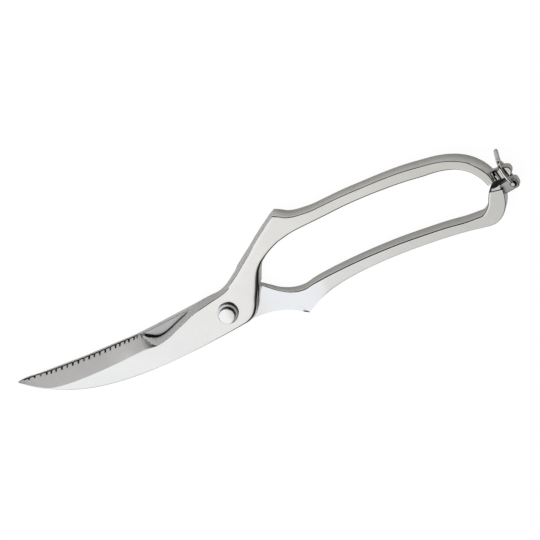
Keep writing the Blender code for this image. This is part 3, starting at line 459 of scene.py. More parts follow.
def arc(centre, radius, start, end, steps):
    """Points of an arc in the (radius, height) plane, between two angles in degrees."""
    angles = [math.radians(start + (end - start) * k / steps) for k in range(steps + 1)]
    return [(centre[0] + radius * math.cos(a), centre[1] + radius * math.sin(a)) for a in angles]


def tube(name, path, radius, mats, sides):
    """A round wire along a path of millimetre points: rings square to the path, domed ends."""
    points = [Vector(p) for p in path]
    ahead = []
    for i in range(len(points)):
        d = points[min(i + 1, len(points) - 1)] - points[max(i - 1, 0)]
        ahead.append(d.normalized())
    side = ahead[0].orthogonal().normalized()
    stations = []  # centre, two directions across the wire, radius
    for i, point in enumerate(points):
        side = (side - ahead[i] * side.dot(ahead[i])).normalized()
        stations.append((point, side.copy(), ahead[i].cross(side), radius))
    caps = 5
    dome = radius * 0.35
    turns = [math.pi / 2 * k / caps for k in range(1, caps)]
    _, u, v, _ = stations[0]
    first = [(points[0] - ahead[0] * dome * math.cos(a), u, v, radius * math.sin(a)) for a in turns]
    _, u, v, _ = stations[-1]
    last = [(points[-1] + ahead[-1] * dome * math.sin(a), u, v, radius * math.cos(a)) for a in turns]
    stations = first + stations + last
    verts, faces = [], []
    for point, u, v, r in stations:
        verts += [tuple((point + (u * math.cos(a) + v * math.sin(a)) * r) * MM)
                  for a in (2 * math.pi * k / sides for k in range(sides))]
    for j in range(len(stations) - 1):
        for k in range(sides):
            q = (k + 1) % sides
            faces.append((j * sides + k, j * sides + q, (j + 1) * sides + q, (j + 1) * sides + k))
    verts.append(tuple((points[0] - ahead[0] * dome) * MM))
    verts.append(tuple((points[-1] + ahead[-1] * dome) * MM))
    start_tip, end_tip = len(verts) - 2, len(verts) - 1
    last_ring = (len(stations) - 1) * sides
    for k in range(sides):
        q = (k + 1) % sides
        faces.append((q, k, start_tip))
        faces.append((last_ring + k, last_ring + q, end_tip))
    made = mesh_object(name, verts, faces, mats)
    face_out(made)
    made.data.shade_smooth()
    return made


# ------------------------------------------------------------------ the forged halves
# Loft spacing: (for spans that start below this x, longest step).
FRONT_STEPS = [(-103.5, 0.9), (-44.5, 0.11), (-37.5, 0.14), (-12.0, 0.35), (math.inf, 0.9)]
REAR_STEPS = [(math.inf, 0.9)]
# Points round each corner of the profile and on the side after it. The corners are the edge at the
# inner face, the top of the edge's wall, two middle points of the bevel, the bevel's end, and the
# spine at the flat face and at the inner face.
ARC_STEPS = [3, 3, 4, 4, 4, 8, 6]
REAR_SIDE_POINTS, REAR_SPREAD = [2, 3, 4, 5, 7, 4, 9], [1.0] * 7
FRONT_SIDE_POINTS, FRONT_SPREAD = [2, 12, 4, 5, 7, 4, 9], [1.0, 1.5] + [1.0] * 5
GRIP_CHAMFER = 0.68  # share of the tabled bevel width kept on the grips

# Serrations of the front blade: where each meets the edge, then slant, length, half width and depth.
TOOTH_X = [-100.9, -98.0, -94.9, -91.9, -89.6, -87.2, -84.2, -81.5, -78.6, -75.7, -72.9, -70.2,
           -67.5, -64.7, -61.8, -59.2, -56.4, -54.2, -51.7, -49.5, -46.8, -45.0]
TOOTH_SLANT = math.tan(math.radians(-20))
TOOTH_LONG, TOOTH_HALF, TOOTH_DEEP = 1.75, 0.47, 0.36
TOOTH_NICK = 0.24  # how far a serration bites into the edge in plan
NOTCH_X = -43.9  # where the toothed blade ends and the notch begins


def bevel_shape(row):
    """The wall height at the edge; two middle points of the bevel, each a fraction from edge to bevel
    end and a height; the rounding at the edge on the inner face; and the softening of the wall's top,
    of both middle points and of the bevel's end."""
    kind, _, _, _, hi, lo = row[:6]
    if kind == "notch":
        return (lo + 0.35, *row[7:11], 0.3, 0.08, 0.3, 0.12, 0.12)
    if kind in ("blade", "notch_start"):
        wall = lo + 0.18
        a, b = (0.33, 0.66) if kind == "blade" else (0.02, 0.04)
        return wall, a, wall + (hi - wall) * a, b, wall + (hi - wall) * b, 0.06, 0.05, 0.1, 0.1, 0.1
    if kind == "hub":
        return lo + 0.6, 0.16, 1.9, 0.55, 3.4, 0.1, 0.2, 0.5, 0.5, 0.35
    if kind == "hub_low":
        return 0.9, 0.2, 2.2, 0.55, 3.7, 0.3, 0.3, 0.7, 0.7, 0.7
    if kind == "neck":
        return 1.4, 0.25, 2.7, 0.6, 3.95, 0.3, 0.5, 0.8, 0.8, 1.0
    if kind == "grip_wide":
        return hi - 0.7, 0.3, hi - 0.42, 0.66, hi - 0.18, 0.5, 0.35, 0.1, 0.1, 0.1
    if kind == "grip_end":
        return hi - 1.3, 0.3, hi - 0.75, 0.62, hi - 0.32, 0.5, 0.2, 0.12, 0.12, 0.1
    edge_round = 0.05 if -4.6 < lo < 0.1 else 0.5
    return hi - 0.3, 0.33, hi - 0.2, 0.66, hi - 0.1, edge_round, 0.05, 0.04, 0.04, 0.05


def cut_serrations(ring, labels, edge, bevel, low):
    """Cuts slanted grooves from the cutting edge a little way up the ground bevel, in place. Returns
    which points lie in a groove, and how far each point is from the edge."""
    out = (edge - bevel) / np.linalg.norm(edge - bevel, axis=1)[:, None]
    reach = ring[:, :, :2] - edge[:, None, :]
    inset = np.maximum(-(reach * out[:, None, :]).sum(2), 0)
    active = (edge[:, 0] > -103) & (edge[:, 0] < NOTCH_X)
    grooved = np.zeros(ring.shape[:2], bool)
    for k, (corner, part) in enumerate(labels):
        if corner > 2:
            continue
        x = ring[:, k, 0] - inset[:, k] * TOOTH_SLANT
        for n, tooth_x in enumerate(TOOTH_X):
            # grooves narrow away from the edge, vary in depth, and shorten at both ends of the row
            strength = 0.75 + 0.25 * math.sin(n * 2.4)
            offset = np.abs(x - tooth_x) / (TOOTH_HALF * (1.15 - 0.3 * inset[:, k] / TOOTH_LONG))
            length = TOOTH_LONG * (0.62 + 0.38 * min(1, n / 4)) * (1 if n < 18 else 0.85)
            run_out = np.clip((length - inset[:, k]) / 0.45, 0, 1)
            shape = np.clip(1 - offset, 0, 1) ** 0.7 * run_out * active * strength
            if corner == 1 or (corner, part) == (2, "side"):
                grooved[:, k] |= shape > 0.3
            if corner == 0 or (corner, part) == (1, "arc"):
                ring[:, k, :2] -= out * (shape * TOOTH_NICK)[:, None]
            if corner >= 1:
                room = np.maximum(ring[:, k, 2] - low - 0.12, 0)
                ring[:, k, 2] -= np.minimum(shape * TOOTH_DEEP, room)
    return grooved, inset


def half_body(name, rows, facing, mats):
    """A forged half as a fine loft through its stations. facing is 1 for the toothed front half, on
    the +Z side, or -1 for the rear half, which is described from behind."""
    front_side = facing > 0
    steps = FRONT_STEPS if front_side else REAR_STEPS
    edge_0, bevel_0, spine_0 = (np.array([row[k] for row in rows], float) for k in (1, 2, 3))
    span, t = [], []
    for i in range(len(rows) - 1):
        length = max(np.linalg.norm(edge_0[i + 1] - edge_0[i]),
                     np.linalg.norm(spine_0[i + 1] - spine_0[i]))
        step = next(step for limit, step in steps if edge_0[i][0] < limit)
        n = max(4, math.ceil(length / step))
        span += [i] * n
        t += [k / n for k in range(n)]
    kinds = [rows[i][0] for i in span]
    span, t = np.array(span + [len(rows) - 2]), np.array(t + [1.0])
    count = len(t)

    sharp = [row[0] in SHARP for row in rows]
    slim = np.array([GRIP_CHAMFER if row[0] in ("grip", "spur") else 1.0 for row in rows])[:, None]
    edge = spline(edge_0, sharp, span, t)
    bevel = spline(edge_0 + (bevel_0 - edge_0) * slim, sharp, span, t)
    spine = spline(spine_0, [False] * len(rows), span, t)
    shapes = np.array([(*row[4:7], *bevel_shape(row), min(row[6], 0.9 if row[5] < -0.2 else 0.3))
                       for row in rows])
    middles = (edge_0 + spine_0) / 2
    place = np.concatenate([[0], np.cumsum(np.linalg.norm(np.diff(middles, axis=0), axis=1))])
    (high, low, spine_round, wall, part_1, height_1, part_2, height_2, *edge_rounds,
     inner_round) = (steady(column, place, span, t) for column in shapes.T)

    def up(part, height):
        return np.column_stack([edge + (bevel - edge) * part[:, None], height])

    corners = [np.column_stack([edge, low]), np.column_stack([edge, wall]), up(part_1, height_1),
               up(part_2, height_2), np.column_stack([bevel, high]),
               np.column_stack([spine, high]), np.column_stack([spine, low])]
    ring, labels = rounded(corners, [*edge_rounds, spine_round, inner_round], ARC_STEPS,
                           FRONT_SIDE_POINTS if front_side else REAR_SIDE_POINTS,
                           FRONT_SPREAD if front_side else REAR_SPREAD)
    if front_side:
        grooved, inset = cut_serrations(ring, labels, edge, bevel, low)
        near_edge = (inset < 0.36) & (ring[:, :, 2] < (low + 1.1)[:, None])
        near_foot = ring[:, :, 2] < (low + 1.5)[:, None]
        width = np.linalg.norm(edge - bevel, axis=1)
    wall_corner = 0 if front_side else 5
    # a line of faces for painted shade along the rear grip's inner corner
    dark_line = labels.index((6, "arc")) + 2  # along the rear grip's inner corner

    def mark_at(j, k):
        """The material of the face that starts at station j, point k."""
        corner, part = labels[k]
        kind, x = kinds[j], edge[j, 0]
        on_bevel = 0 < corner < 4
        mark = POLISHED
        if on_bevel and (x < -42.2 or kind == "blade" and x < -18.5):
            mark = GROUND
        elif corner < 4 and kind in ("notch_start", "notch", "hub", "hub_low", "neck"):
            mark = BAND
        # the outer walls take the wall steels, which carry painted shade
        elif corner == wall_corner and kind != "blade":
            mark = WALL
        # painted shade: the inner faces along the blades take the darker satin steel
        if (corner == 6 or (corner, part) == (0, "arc")) and low[j] > 0 and x < 8:
            mark = SATIN_SHADED
        if not front_side:
            # the rear half gets a near-black painted shade line along its grip's inner corner
            return PAINTED_SHADE if x > 44 and k == dark_line else mark
        # painted shade: the serration grooves and a thin line along the cutting edge take the near-black
        # painted shade
        if mark in (GROUND, BAND) and grooved[j, k]:
            mark = PAINTED_SHADE
        if kind == "blade" and -104 < x < NOTCH_X and corner < 2 and near_edge[j, k]:
            mark = PAINTED_SHADE
        if on_bevel and -44.2 < x < -36.4 and kind != "blade":
            # a curved line of painted shade where the ground bevel runs into the notch
            bow = ring[j, k, 0] + 43.6 - 5.8 * min(1.0, inset[j, k] / width[j]) ** 1.3
            mark = GROUND if bow < -0.26 else PAINTED_SHADE if bow < 0.26 else mark
        # painted shade: a near-black contact line along the foot of the notch, where it meets the rear
        # blade
        if kind == "notch" and -42 < x < -19 and corner < 2 and near_foot[j, k]:
            mark = PAINTED_SHADE
        return mark

    n = ring.shape[1]
    flat = ring.reshape(-1, 3).copy()
    flat[:, 2] *= facing
    flat[:, 2] += HALF
    verts = (flat * MM).tolist()
    faces, index = [], []
    for j in range(count - 1):
        a, b = j * n, (j + 1) * n
        for k in range(n):
            q = (k + 1) % n
            faces.append((a + k, a + q, b + q, b + k))
            index.append(mark_at(j, k))
    for j in (0, count - 1):
        middle = len(verts)
        verts.append(np.mean(np.array(verts[j * n:(j + 1) * n]), axis=0).tolist())
        for k in range(n):
            faces.append((j * n + k, j * n + (k + 1) % n, middle))
            # painted shade: the end face at the grip's end is near-black
            index.append(PAINTED_SHADE if j else POLISHED)
    made = mesh_object(name, verts, faces, mats, index)
    face_out(made)
    return made


# ------------------------------------------------------------------ materials
class Tree:
    """A short way to write shader nodes."""

    def __init__(self, tree):
        self.tree = tree

    def add(self, kind, inputs=None, **settings):
        node = self.tree.nodes.new(kind)
        for key, value in settings.items():
            setattr(node, key, value)
        for key, value in (inputs or {}).items():
            if isinstance(value, bpy.types.NodeSocket):
                self.tree.links.new(value, node.inputs[key])
            else:
                node.inputs[key].default_value = value
        return node

    def math(self, operation, a, b=0.0, c=0.0, clamp=False):
        return self.add("ShaderNodeMath", {0: a, 1: b, 2: c}, operation=operation,
                        use_clamp=clamp).outputs[0]

    def linear(self, value, gain, offset, clamp=False):
        return self.math("MULTIPLY_ADD", value, gain, offset, clamp)

    def weighted(self, first, second):
        """The sum of two (value, weight) pairs."""
        return self.math("ADD", self.math("MULTIPLY", *first), self.math("MULTIPLY", *second))

    def scaled(self, colour, factor):
        return self.add("ShaderNodeVectorMath", {0: colour, "Scale": factor},
                        operation="SCALE").outputs[0]

    def axis(self, vector, number):
        return self.add("ShaderNodeSeparateXYZ", {0: vector}).outputs[number]

    def ramp(self, value, stops):
        node = self.add("ShaderNodeValToRGB", {"Fac": value})
        elements = node.color_ramp.elements
        while len(elements) < len(stops):
            elements.new(0.5)
        for element, (position, colour) in zip(elements, stops):
            element.position = position
            grey = isinstance(colour, (int, float))
            element.color = (colour, colour, colour, 1) if grey else (*colour, 1)
        return node.outputs["Color"]

    def noise(self, vector, scale, detail=2.0, rough=0.5, stretch=None, turn=0.0):
        if stretch:
            vector = self.add("ShaderNodeMapping", {"Vector": vector, "Scale": stretch,
                                                    "Rotation": (0, 0, turn)},
                              vector_type="POINT").outputs[0]
        return self.add("ShaderNodeTexNoise", {"Vector": vector, "Scale": scale, "Detail": detail,
                                               "Roughness": rough}).outputs["Fac"]

    def emission(self, colour, strength):
        return self.add("ShaderNodeEmission", {"Color": colour, "Strength": strength}).outputs[0]


MIX_FACTOR, MIX_A, MIX_B, MIX_RESULT = 0, 6, 7, 2  # colour sockets of the mix node
ALONG_SPAN = 300  # length in x that an along table can cover, centred on the pivot


def metal(name, dark, light, rough, spread=0.05, lines=None, line_depth=0.0, line_turn=0.0,
          waves=0.0, wear=0.0, tarnish=0.0, specks=0.0, fade=None, along=None, metallic=1.0):
    """A machined or polished metal: colour drift, fine finishing lines, soft waves, edge wear and
    specks. lines stretches the finishing marks, per millimetre; depths are millimetres. along is
    (x, brightness) stops of painted shade along the shears; fade is painted shade, the brightness
    at the bottom and top of the thickness."""
    made = bpy.data.materials.new(name)
    made.use_nodes = True
    tree = Tree(made.node_tree)
    shader = made.node_tree.nodes["Principled BSDF"]
    place = tree.add("ShaderNodeTexCoord").outputs["Object"]
    mm = tree.add("ShaderNodeVectorMath", {0: place, 1: (1000, 1000, 1000)},
                  operation="MULTIPLY").outputs[0]
    drift = tree.noise(mm, scale=0.045, detail=3, rough=0.55)
    patch = tree.noise(mm, scale=0.35, detail=4, rough=0.6)
    tone = tree.linear(tree.weighted((drift, 0.7), (patch, 0.3)), gain=2.2, offset=-0.6, clamp=True)
    colour = tree.add("ShaderNodeMix", {MIX_FACTOR: tone, MIX_A: (*dark, 1), MIX_B: (*light, 1)},
                      data_type="RGBA").outputs[MIX_RESULT]
    roughness = tree.linear(patch, gain=spread, offset=rough - spread / 2)
    if lines:
        marks = tree.noise(mm, scale=1.0, detail=5, rough=0.65, stretch=lines, turn=line_turn)
        long_marks = tree.noise(mm, scale=0.45, detail=3, rough=0.7, stretch=lines,
                                turn=line_turn + 0.09)
        both = tree.weighted((marks, 0.7), (long_marks, 0.5))
        height = tree.math("MULTIPLY", both, line_depth)
        uneven = tree.linear(marks, gain=spread * 1.6, offset=-spread * 0.8)
        roughness = tree.math("ADD", roughness, uneven)
        if waves:
            swell = tree.math("MULTIPLY", tree.noise(mm, scale=0.07, detail=1, rough=0.4), waves)
            height = tree.math("ADD", height, swell)
    if specks:
        cells = tree.add("ShaderNodeTexVoronoi", {"Vector": mm, "Scale": 0.55, "Randomness": 1.0})
        speck_size = 0.035
        dot = tree.math("LESS_THAN", cells.outputs["Distance"], speck_size)
        roughness = tree.linear(dot, specks, roughness)
    if wear:
        edges = tree.add("ShaderNodeNewGeometry").outputs["Pointiness"]
        rim = tree.linear(edges, gain=14.0, offset=-7.3, clamp=True)
        patchy = tree.linear(patch, gain=1.6, offset=-0.2, clamp=True)
        scuffed = tree.math("MULTIPLY", rim, patchy)
        roughness = tree.linear(scuffed, wear, roughness)
    if tarnish:
        stains = tree.noise(mm, scale=1.4, detail=6, rough=0.7)
        pits = tree.linear(stains, gain=3.0, offset=-1.7, clamp=True)
        colour = tree.scaled(colour, tree.linear(pits, gain=-tarnish, offset=1.0))
    # painted shade: brightness stops along x
    if along:
        level = tree.linear(tree.axis(mm, 0), gain=1 / ALONG_SPAN, offset=0.5, clamp=True)
        level = tree.ramp(level, [(x / ALONG_SPAN + 0.5, v) for x, v in along])
        colour = tree.scaled(colour, level)
    # painted shade: darker towards the bottom of the thickness
    if fade:
        level = tree.axis(mm, 2)
        ragged = tree.linear(patch, gain=0.3, offset=-0.15)
        level = tree.linear(level, gain=1 / (2 * HALF), offset=ragged, clamp=True)
        level = tree.linear(level, gain=fade[1] - fade[0], offset=fade[0])
        colour = tree.scaled(colour, level)
    made.node_tree.links.new(colour, shader.inputs["Base Color"])
    made.node_tree.links.new(roughness, shader.inputs["Roughness"])
    shader.inputs["Metallic"].default_value = metallic
    if lines:
        bump = tree.add("ShaderNodeBump", {"Height": height, "Strength": 1.0, "Distance": MM})
        made.node_tree.links.new(bump.outputs[0], shader.inputs["Normal"])
    return made


polish = dict(spread=0.05, lines=(0.06, 2.2, 2.2), line_depth=0.0011, waves=0.02, wear=0.12, specks=0.12)
wall_finish = dict(rough=0.2, spread=0.06, lines=(0.06, 2.2, 2.2), line_depth=0.0015, waves=0.02)

steel_front = metal("forged_steel_polished", dark=(0.77, 0.765, 0.755), light=(0.835, 0.83, 0.82),
                    rough=0.11, **polish)
steel_rear = metal("forged_steel_polished_rear", dark=(0.76, 0.765, 0.775),
                   light=(0.825, 0.83, 0.84), rough=0.12, **polish)
# Ground bevel steel; its along stops are painted shade, darkening the bevel towards the point.
steel_ground = metal("ground_bevel_steel", dark=(0.91, 0.885, 0.865), light=(0.99, 0.975, 0.95),
                     rough=0.36, spread=0.1, lines=(2.6, 0.05, 0.4), line_depth=0.004,
                     line_turn=0.08, waves=0.01,
                     along=[(-80, 0.55), (-64, 0.61), (-56, 0.74), (-49, 0.94), (-43, 1.0)])
# Satin finish whose dark base is painted shade: it stands in for the shade the front blade casts on the
# rear blade's inner face.
steel_satin_shaded = metal("satin_inner_steel_painted_shade", dark=(0.46, 0.46, 0.465), light=(0.54, 0.54, 0.545),
                    rough=0.34, spread=0.1, lines=(0.05, 2.4, 1.0), line_depth=0.003, waves=0.01,
                    tarnish=0.1)
# Near-black painted shade for grooves, hollows, gaps between parts and contact lines, with a little
# tarnish.
steel_painted_shade = metal("painted_shade_black_steel", dark=(0.02, 0.02, 0.02), light=(0.05, 0.05, 0.05),
                  rough=0.5, spread=0.15, tarnish=0.3)
# Near-black painted shade for the side walls of the screw head and the washer.
steel_painted_dark_side = metal("painted_shade_side_steel", dark=(0.03, 0.03, 0.03), light=(0.07, 0.07, 0.07),
                   rough=0.3, spread=0.1, lines=(3.0, 3.0, 0.3), line_depth=0.004)
steel_screw = metal("bright_screw_steel", dark=(0.84, 0.84, 0.84), light=(0.89, 0.89, 0.885),
                    rough=0.055, spread=0.03, lines=(0.5, 0.5, 0.5), line_depth=0.0004,
                    waves=0.008, specks=0.1)
steel_washer = metal("washer_steel_turned", dark=(0.9, 0.9, 0.9), light=(0.96, 0.96, 0.96),
                     rough=0.3, spread=0.08, metallic=0.6, lines=(1.2, 1.2, 0.1), line_depth=0.0006)
steel_nut = metal("nut_steel_turned", dark=(0.66, 0.66, 0.66), light=(0.74, 0.74, 0.745),
                  rough=0.24, spread=0.08, lines=(1.5, 1.5, 0.1), line_depth=0.001, wear=0.1,
                  tarnish=0.08)
steel_pin = metal("ground_pin_steel", dark=(0.62, 0.62, 0.63), light=(0.7, 0.7, 0.71),
                  rough=0.25, spread=0.08, lines=(1.5, 1.5, 0.05), line_depth=0.001)
steel_spring = metal("spring_wire_steel", dark=(0.42, 0.42, 0.44), light=(0.54, 0.54, 0.56),
                     rough=0.3, spread=0.1, lines=(0.8, 0.8, 0.8), line_depth=0.001, tarnish=0.25)
steel_wire = metal("bright_wire_steel", dark=(0.74, 0.74, 0.735), light=(0.82, 0.82, 0.815),
                   rough=0.1, spread=0.05, lines=(1.0, 0.2, 1.0), line_depth=0.0006, specks=0.1)
steel_band = metal("brushed_band_steel", dark=(0.97, 0.96, 0.945), light=(1.0, 0.99, 0.975),
                   rough=0.42, spread=0.1, metallic=0.0, lines=(0.05, 2.0, 2.6), line_depth=0.003,
                   waves=0.01)
# Wall steels with painted shade: darker towards the bottom of the thickness, and the rear walls darker
# overall, for the shade near the floor and between the grips.
wall_front = metal("forged_wall_steel", dark=(0.88, 0.87, 0.84), light=(0.95, 0.94, 0.91),
                   fade=(0.55, 1.0), **wall_finish)
wall_rear = metal("forged_wall_steel_rear", dark=(0.66, 0.65, 0.62), light=(0.74, 0.73, 0.70),
                  fade=(0.72, 1.0), **wall_finish)
steel_tab = metal("pressed_tab_steel", dark=(0.70, 0.695, 0.67), light=(0.78, 0.775, 0.75),
                  rough=0.3, spread=0.1, metallic=0.5, tarnish=0.2, lines=(1.0, 0.2, 1.0),
                  line_depth=0.001)
brass = metal("bush_brass_turned", dark=(0.72, 0.53, 0.25), light=(0.84, 0.66, 0.36),
              rough=0.26, spread=0.1, lines=(1.0, 1.0, 0.05), line_depth=0.001, tarnish=0.2)

# ------------------------------------------------------------------ front half
CRISP_HALF_DEG = 17
LEG_SLOT = [(5.0, -0.7), (7.6, -0.7), (7.6, 0.7), (5.0, 0.7)]  # for a leg of the spring


def polar(radius, degrees):
    return radius * math.cos(math.radians(degrees)), radius * math.sin(math.radians(degrees))


def stop_slot_outline():
    """The curved slot the stop pin travels in, as an outer arc and an inner arc back."""
    steps, clearance = 24, 0.25
    angles = [STOP_AT_DEG + STOP_PLAY_DEG - (OPEN_DEG + 2 * STOP_PLAY_DEG) * k / steps
              for k in range(steps + 1)]
    return ([polar(STOP_R + STOP_PIN_R + clearance, a) for a in angles]
            + [polar(STOP_R - STOP_PIN_R - clearance, a) for a in reversed(angles)])


def build_front():
    mats = [steel_front, steel_ground, steel_satin_shaded, steel_painted_shade, wall_front, steel_band]
    front = half_body("front_half_forged", FRONT, 1, mats)
    leg_slot = [(-x, y) for x, y in LEG_SLOT]
    carve(front, [
        (disc("step_cut", STEP_R, -HALF - 1, GAP, mats, SATIN_SHADED, sides=256), "DIFFERENCE"),
        # painted shade: the lug's rims take near-black painted lines
        (plate("front_lug", round_outline(FRONT_LUG, 0.6), -LUG_HALF, LUG_HALF, mats, POLISHED,
               rim=0.4, line=PAINTED_SHADE, side=BAND), "UNION"),
        # painted shade: the recess in the front lug is near-black
        (plate("front_recess", FRONT_RECESS, 0.9, HALF + 2, mats, PAINTED_SHADE), "DIFFERENCE"),
        *[(plate("recess_rib", rib, -1, top, mats, mark), "UNION") for rib, top, mark in RECESS_RIBS],
        # painted shadow: a near-black groove where the bail's leg shades the lug
        (plate("detent", LEG_SHADOW_GROOVE, LUG_HALF - 0.5, LUG_HALF + 1, mats, PAINTED_SHADE), "DIFFERENCE"),
        (disc("front_bore", BORE_R, -1, HALF + 1, mats, SATIN_SHADED), "DIFFERENCE"),
        (disc("front_well", WELL_R, -1, WELL_FRONT, mats, SATIN_SHADED), "DIFFERENCE"),
        (plate("front_leg_slot", leg_slot, -1, WELL_FRONT, mats, SATIN_SHADED), "DIFFERENCE"),
        (plate("stop_slot", stop_slot_outline(), -1, WELL_FRONT, mats, SATIN_SHADED), "DIFFERENCE"),
    ])
    fit(front, "front", "front_half", CRISP_HALF_DEG)


# ------------------------------------------------------------------ rear half
def build_rear():
    mats = [steel_rear, steel_ground, steel_satin_shaded, steel_painted_shade, wall_rear, steel_band]
    rear = half_body("rear_half_forged", REAR, -1, mats)
    stop_x, stop_y = polar(STOP_R, STOP_AT_DEG)
    bail_x, bail_y = BAIL_AT
    carve(rear, [
        # painted shade: the rear lug's rims take near-black painted lines
        (plate("rear_lug", round_outline(REAR_LUG, 0.45), -LUG_HALF, LUG_HALF, mats, SATIN_SHADED,
               rim=0.35, line=PAINTED_SHADE, side=BAND), "UNION"),
        # painted shade: a near-black block fills the gap between the grip ends
        (plate("end_plug", round_outline(END_GAP_SHADE, 0.3), -HALF + 0.4, 1.0, mats, PAINTED_SHADE), "UNION"),
        (plate("end_facet", round_outline(END_FACET, 0.4), -HALF + 0.5, HALF - 0.75, mats, POLISHED,
               rim=0.2), "UNION"),
        # painted shade: the sink round the bail's end is near-black
        (disc("bail_sink", 1.7, LUG_HALF - 0.35, HALF, mats, PAINTED_SHADE, x=bail_x, y=bail_y, sides=64),
         "DIFFERENCE"),
        (disc("rear_bore", BORE_R, -HALF - 1, 1, mats, SATIN_SHADED), "DIFFERENCE"),
        (disc("rear_well", WELL_R, -WELL_REAR, 1, mats, SATIN_SHADED), "DIFFERENCE"),
        (disc("nut_well", NUT_R + 0.15, -HALF - 1, -HALF + NUT_T + 0.1, mats, SATIN_SHADED), "DIFFERENCE"),
        (plate("rear_leg_slot", LEG_SLOT, -WELL_REAR, 1, mats, SATIN_SHADED), "DIFFERENCE"),
        (disc("stop_bore", STOP_PIN_R + 0.04, -3.4, 1, mats, SATIN_SHADED, x=stop_x, y=stop_y, sides=64),
         "DIFFERENCE"),
        (disc("bail_bore", WIRE_R + 0.07, -4, 4, mats, SATIN_SHADED, x=bail_x, y=bail_y, sides=64),
         "DIFFERENCE"),
    ])
    fit(rear, "rear", "rear_half", CRISP_HALF_DEG)


# ------------------------------------------------------------------ pivot stack
def build_screw():
    head_low = HALF + 0.05 + WASHER_T + 0.05
    head_high = head_low + HEAD_TOP
    crown_r, crown_rise, crown_steps = HEAD_R - 0.4, 0.16, 9
    profile = [(0.0, -HALF + 0.6), (SHANK_R - 0.2, -HALF + 0.6), (SHANK_R, -HALF + 0.8),
               (SHANK_R, head_low), (HEAD_R - 0.3, head_low)]
    profile += arc((HEAD_R - 0.2, head_low + 0.2), 0.2, -90, 0, 4)
    profile += arc((crown_r, head_high - 0.55), 0.4, 0, 72, 7)
    for k in range(1, crown_steps + 1):
        r = crown_r * (1 - k / crown_steps)
        profile.append((r, head_high - crown_rise * (r / crown_r) ** 2))
    # painted shade: the head's side wall takes the near-black painted shade
    dark_side = [int(HEAD_R - 0.35 < r <= HEAD_R and head_low - 0.01 < z < head_high - 0.5)
                 for r, z in profile]
    screw = turned("pivot_screw_turned", profile, [steel_screw, steel_painted_dark_side], sides=160, index=dark_side)
    fit(screw, "rear", "pivot_screw", crisp_deg=25)


def build_washer():
    washer_top = HALF + WASHER_T + 0.05
    profile = [(SHANK_R + 0.1, HALF + 0.05)]
    profile += arc((WASHER_R - 0.1, HALF + 0.15), 0.1, -90, 0, 3)
    profile += arc((WASHER_R - 0.1, HALF + WASHER_T - 0.3), 0.1, 0, 75, 4)
    profile += [(HEAD_R - 0.15, washer_top), (SHANK_R + 0.1, washer_top)]
    # painted shade: the washer's outer side takes the near-black painted shade
    dark_side = [int(r > WASHER_R - 0.16 and 2 <= k <= len(profile) - 5)
                 for k, (r, _) in enumerate(profile)]
    washer = turned("head_washer_turned", profile, [steel_washer, steel_painted_dark_side], sides=160,
                    closed=True, index=dark_side)
    fit(washer, "rear", "head_washer", crisp_deg=30)


def build_nut():
    """The nut in the rear face, with a blind bore for the shank and a driver slot across."""
    nut_top, bore_low, bore_r = -HALF + NUT_T, -HALF + 0.45, SHANK_R + 0.06
    profile = [(0.0, bore_low), (bore_r, bore_low), (bore_r, nut_top), (NUT_R - 0.15, nut_top)]
    profile += arc((NUT_R - 0.1, nut_top - 0.1), 0.1, 90, 0, 3)
    profile += arc((NUT_R - 0.3, -HALF + 0.3), 0.3, 0, -90, 5)
    profile += [(2.2, -HALF), (0.0, -HALF)]
    nut = turned("pivot_nut_turned", profile, [steel_nut])
    slot = [(-6, -0.55), (6, -0.55), (6, 0.55), (-6, 0.55)]
    carve(nut, [(plate("driver_slot", slot, -HALF - 1, -HALF + 0.36, [steel_nut]), "DIFFERENCE")])
    fit(nut, "rear", "pivot_nut", crisp_deg=25)


def build_spring():
    coil_r, pitch, per_turn = 4.4, 0.98, 24
    first, last = 2, 58  # helix points kept, counted from +X
    low = -WELL_REAR + SPRING_WIRE_R + 0.15
    leg = [(7.1, 0.0), (5.9, 0.0), (5.1, 0.05), (4.6, 0.35)]  # from its tip to the coil, in plan
    coil = [(x, y, low) for x, y in leg]
    for k in range(first, last + 1):
        a = 2 * math.pi * k / per_turn
        coil.append((coil_r * math.cos(a), coil_r * math.sin(a), low + pitch * (k - first) / per_turn))
    top = coil[-1][2] + 0.02
    coil += [(-x, y, top) for x, y in reversed(leg)]
    coil = np.array(coil) + np.array([0, 0, HALF])
    spring = tube("torsion_spring_wire", smooth(coil, 4), SPRING_WIRE_R, [steel_spring], sides=20)
    fit(spring, "rear", "torsion_spring")


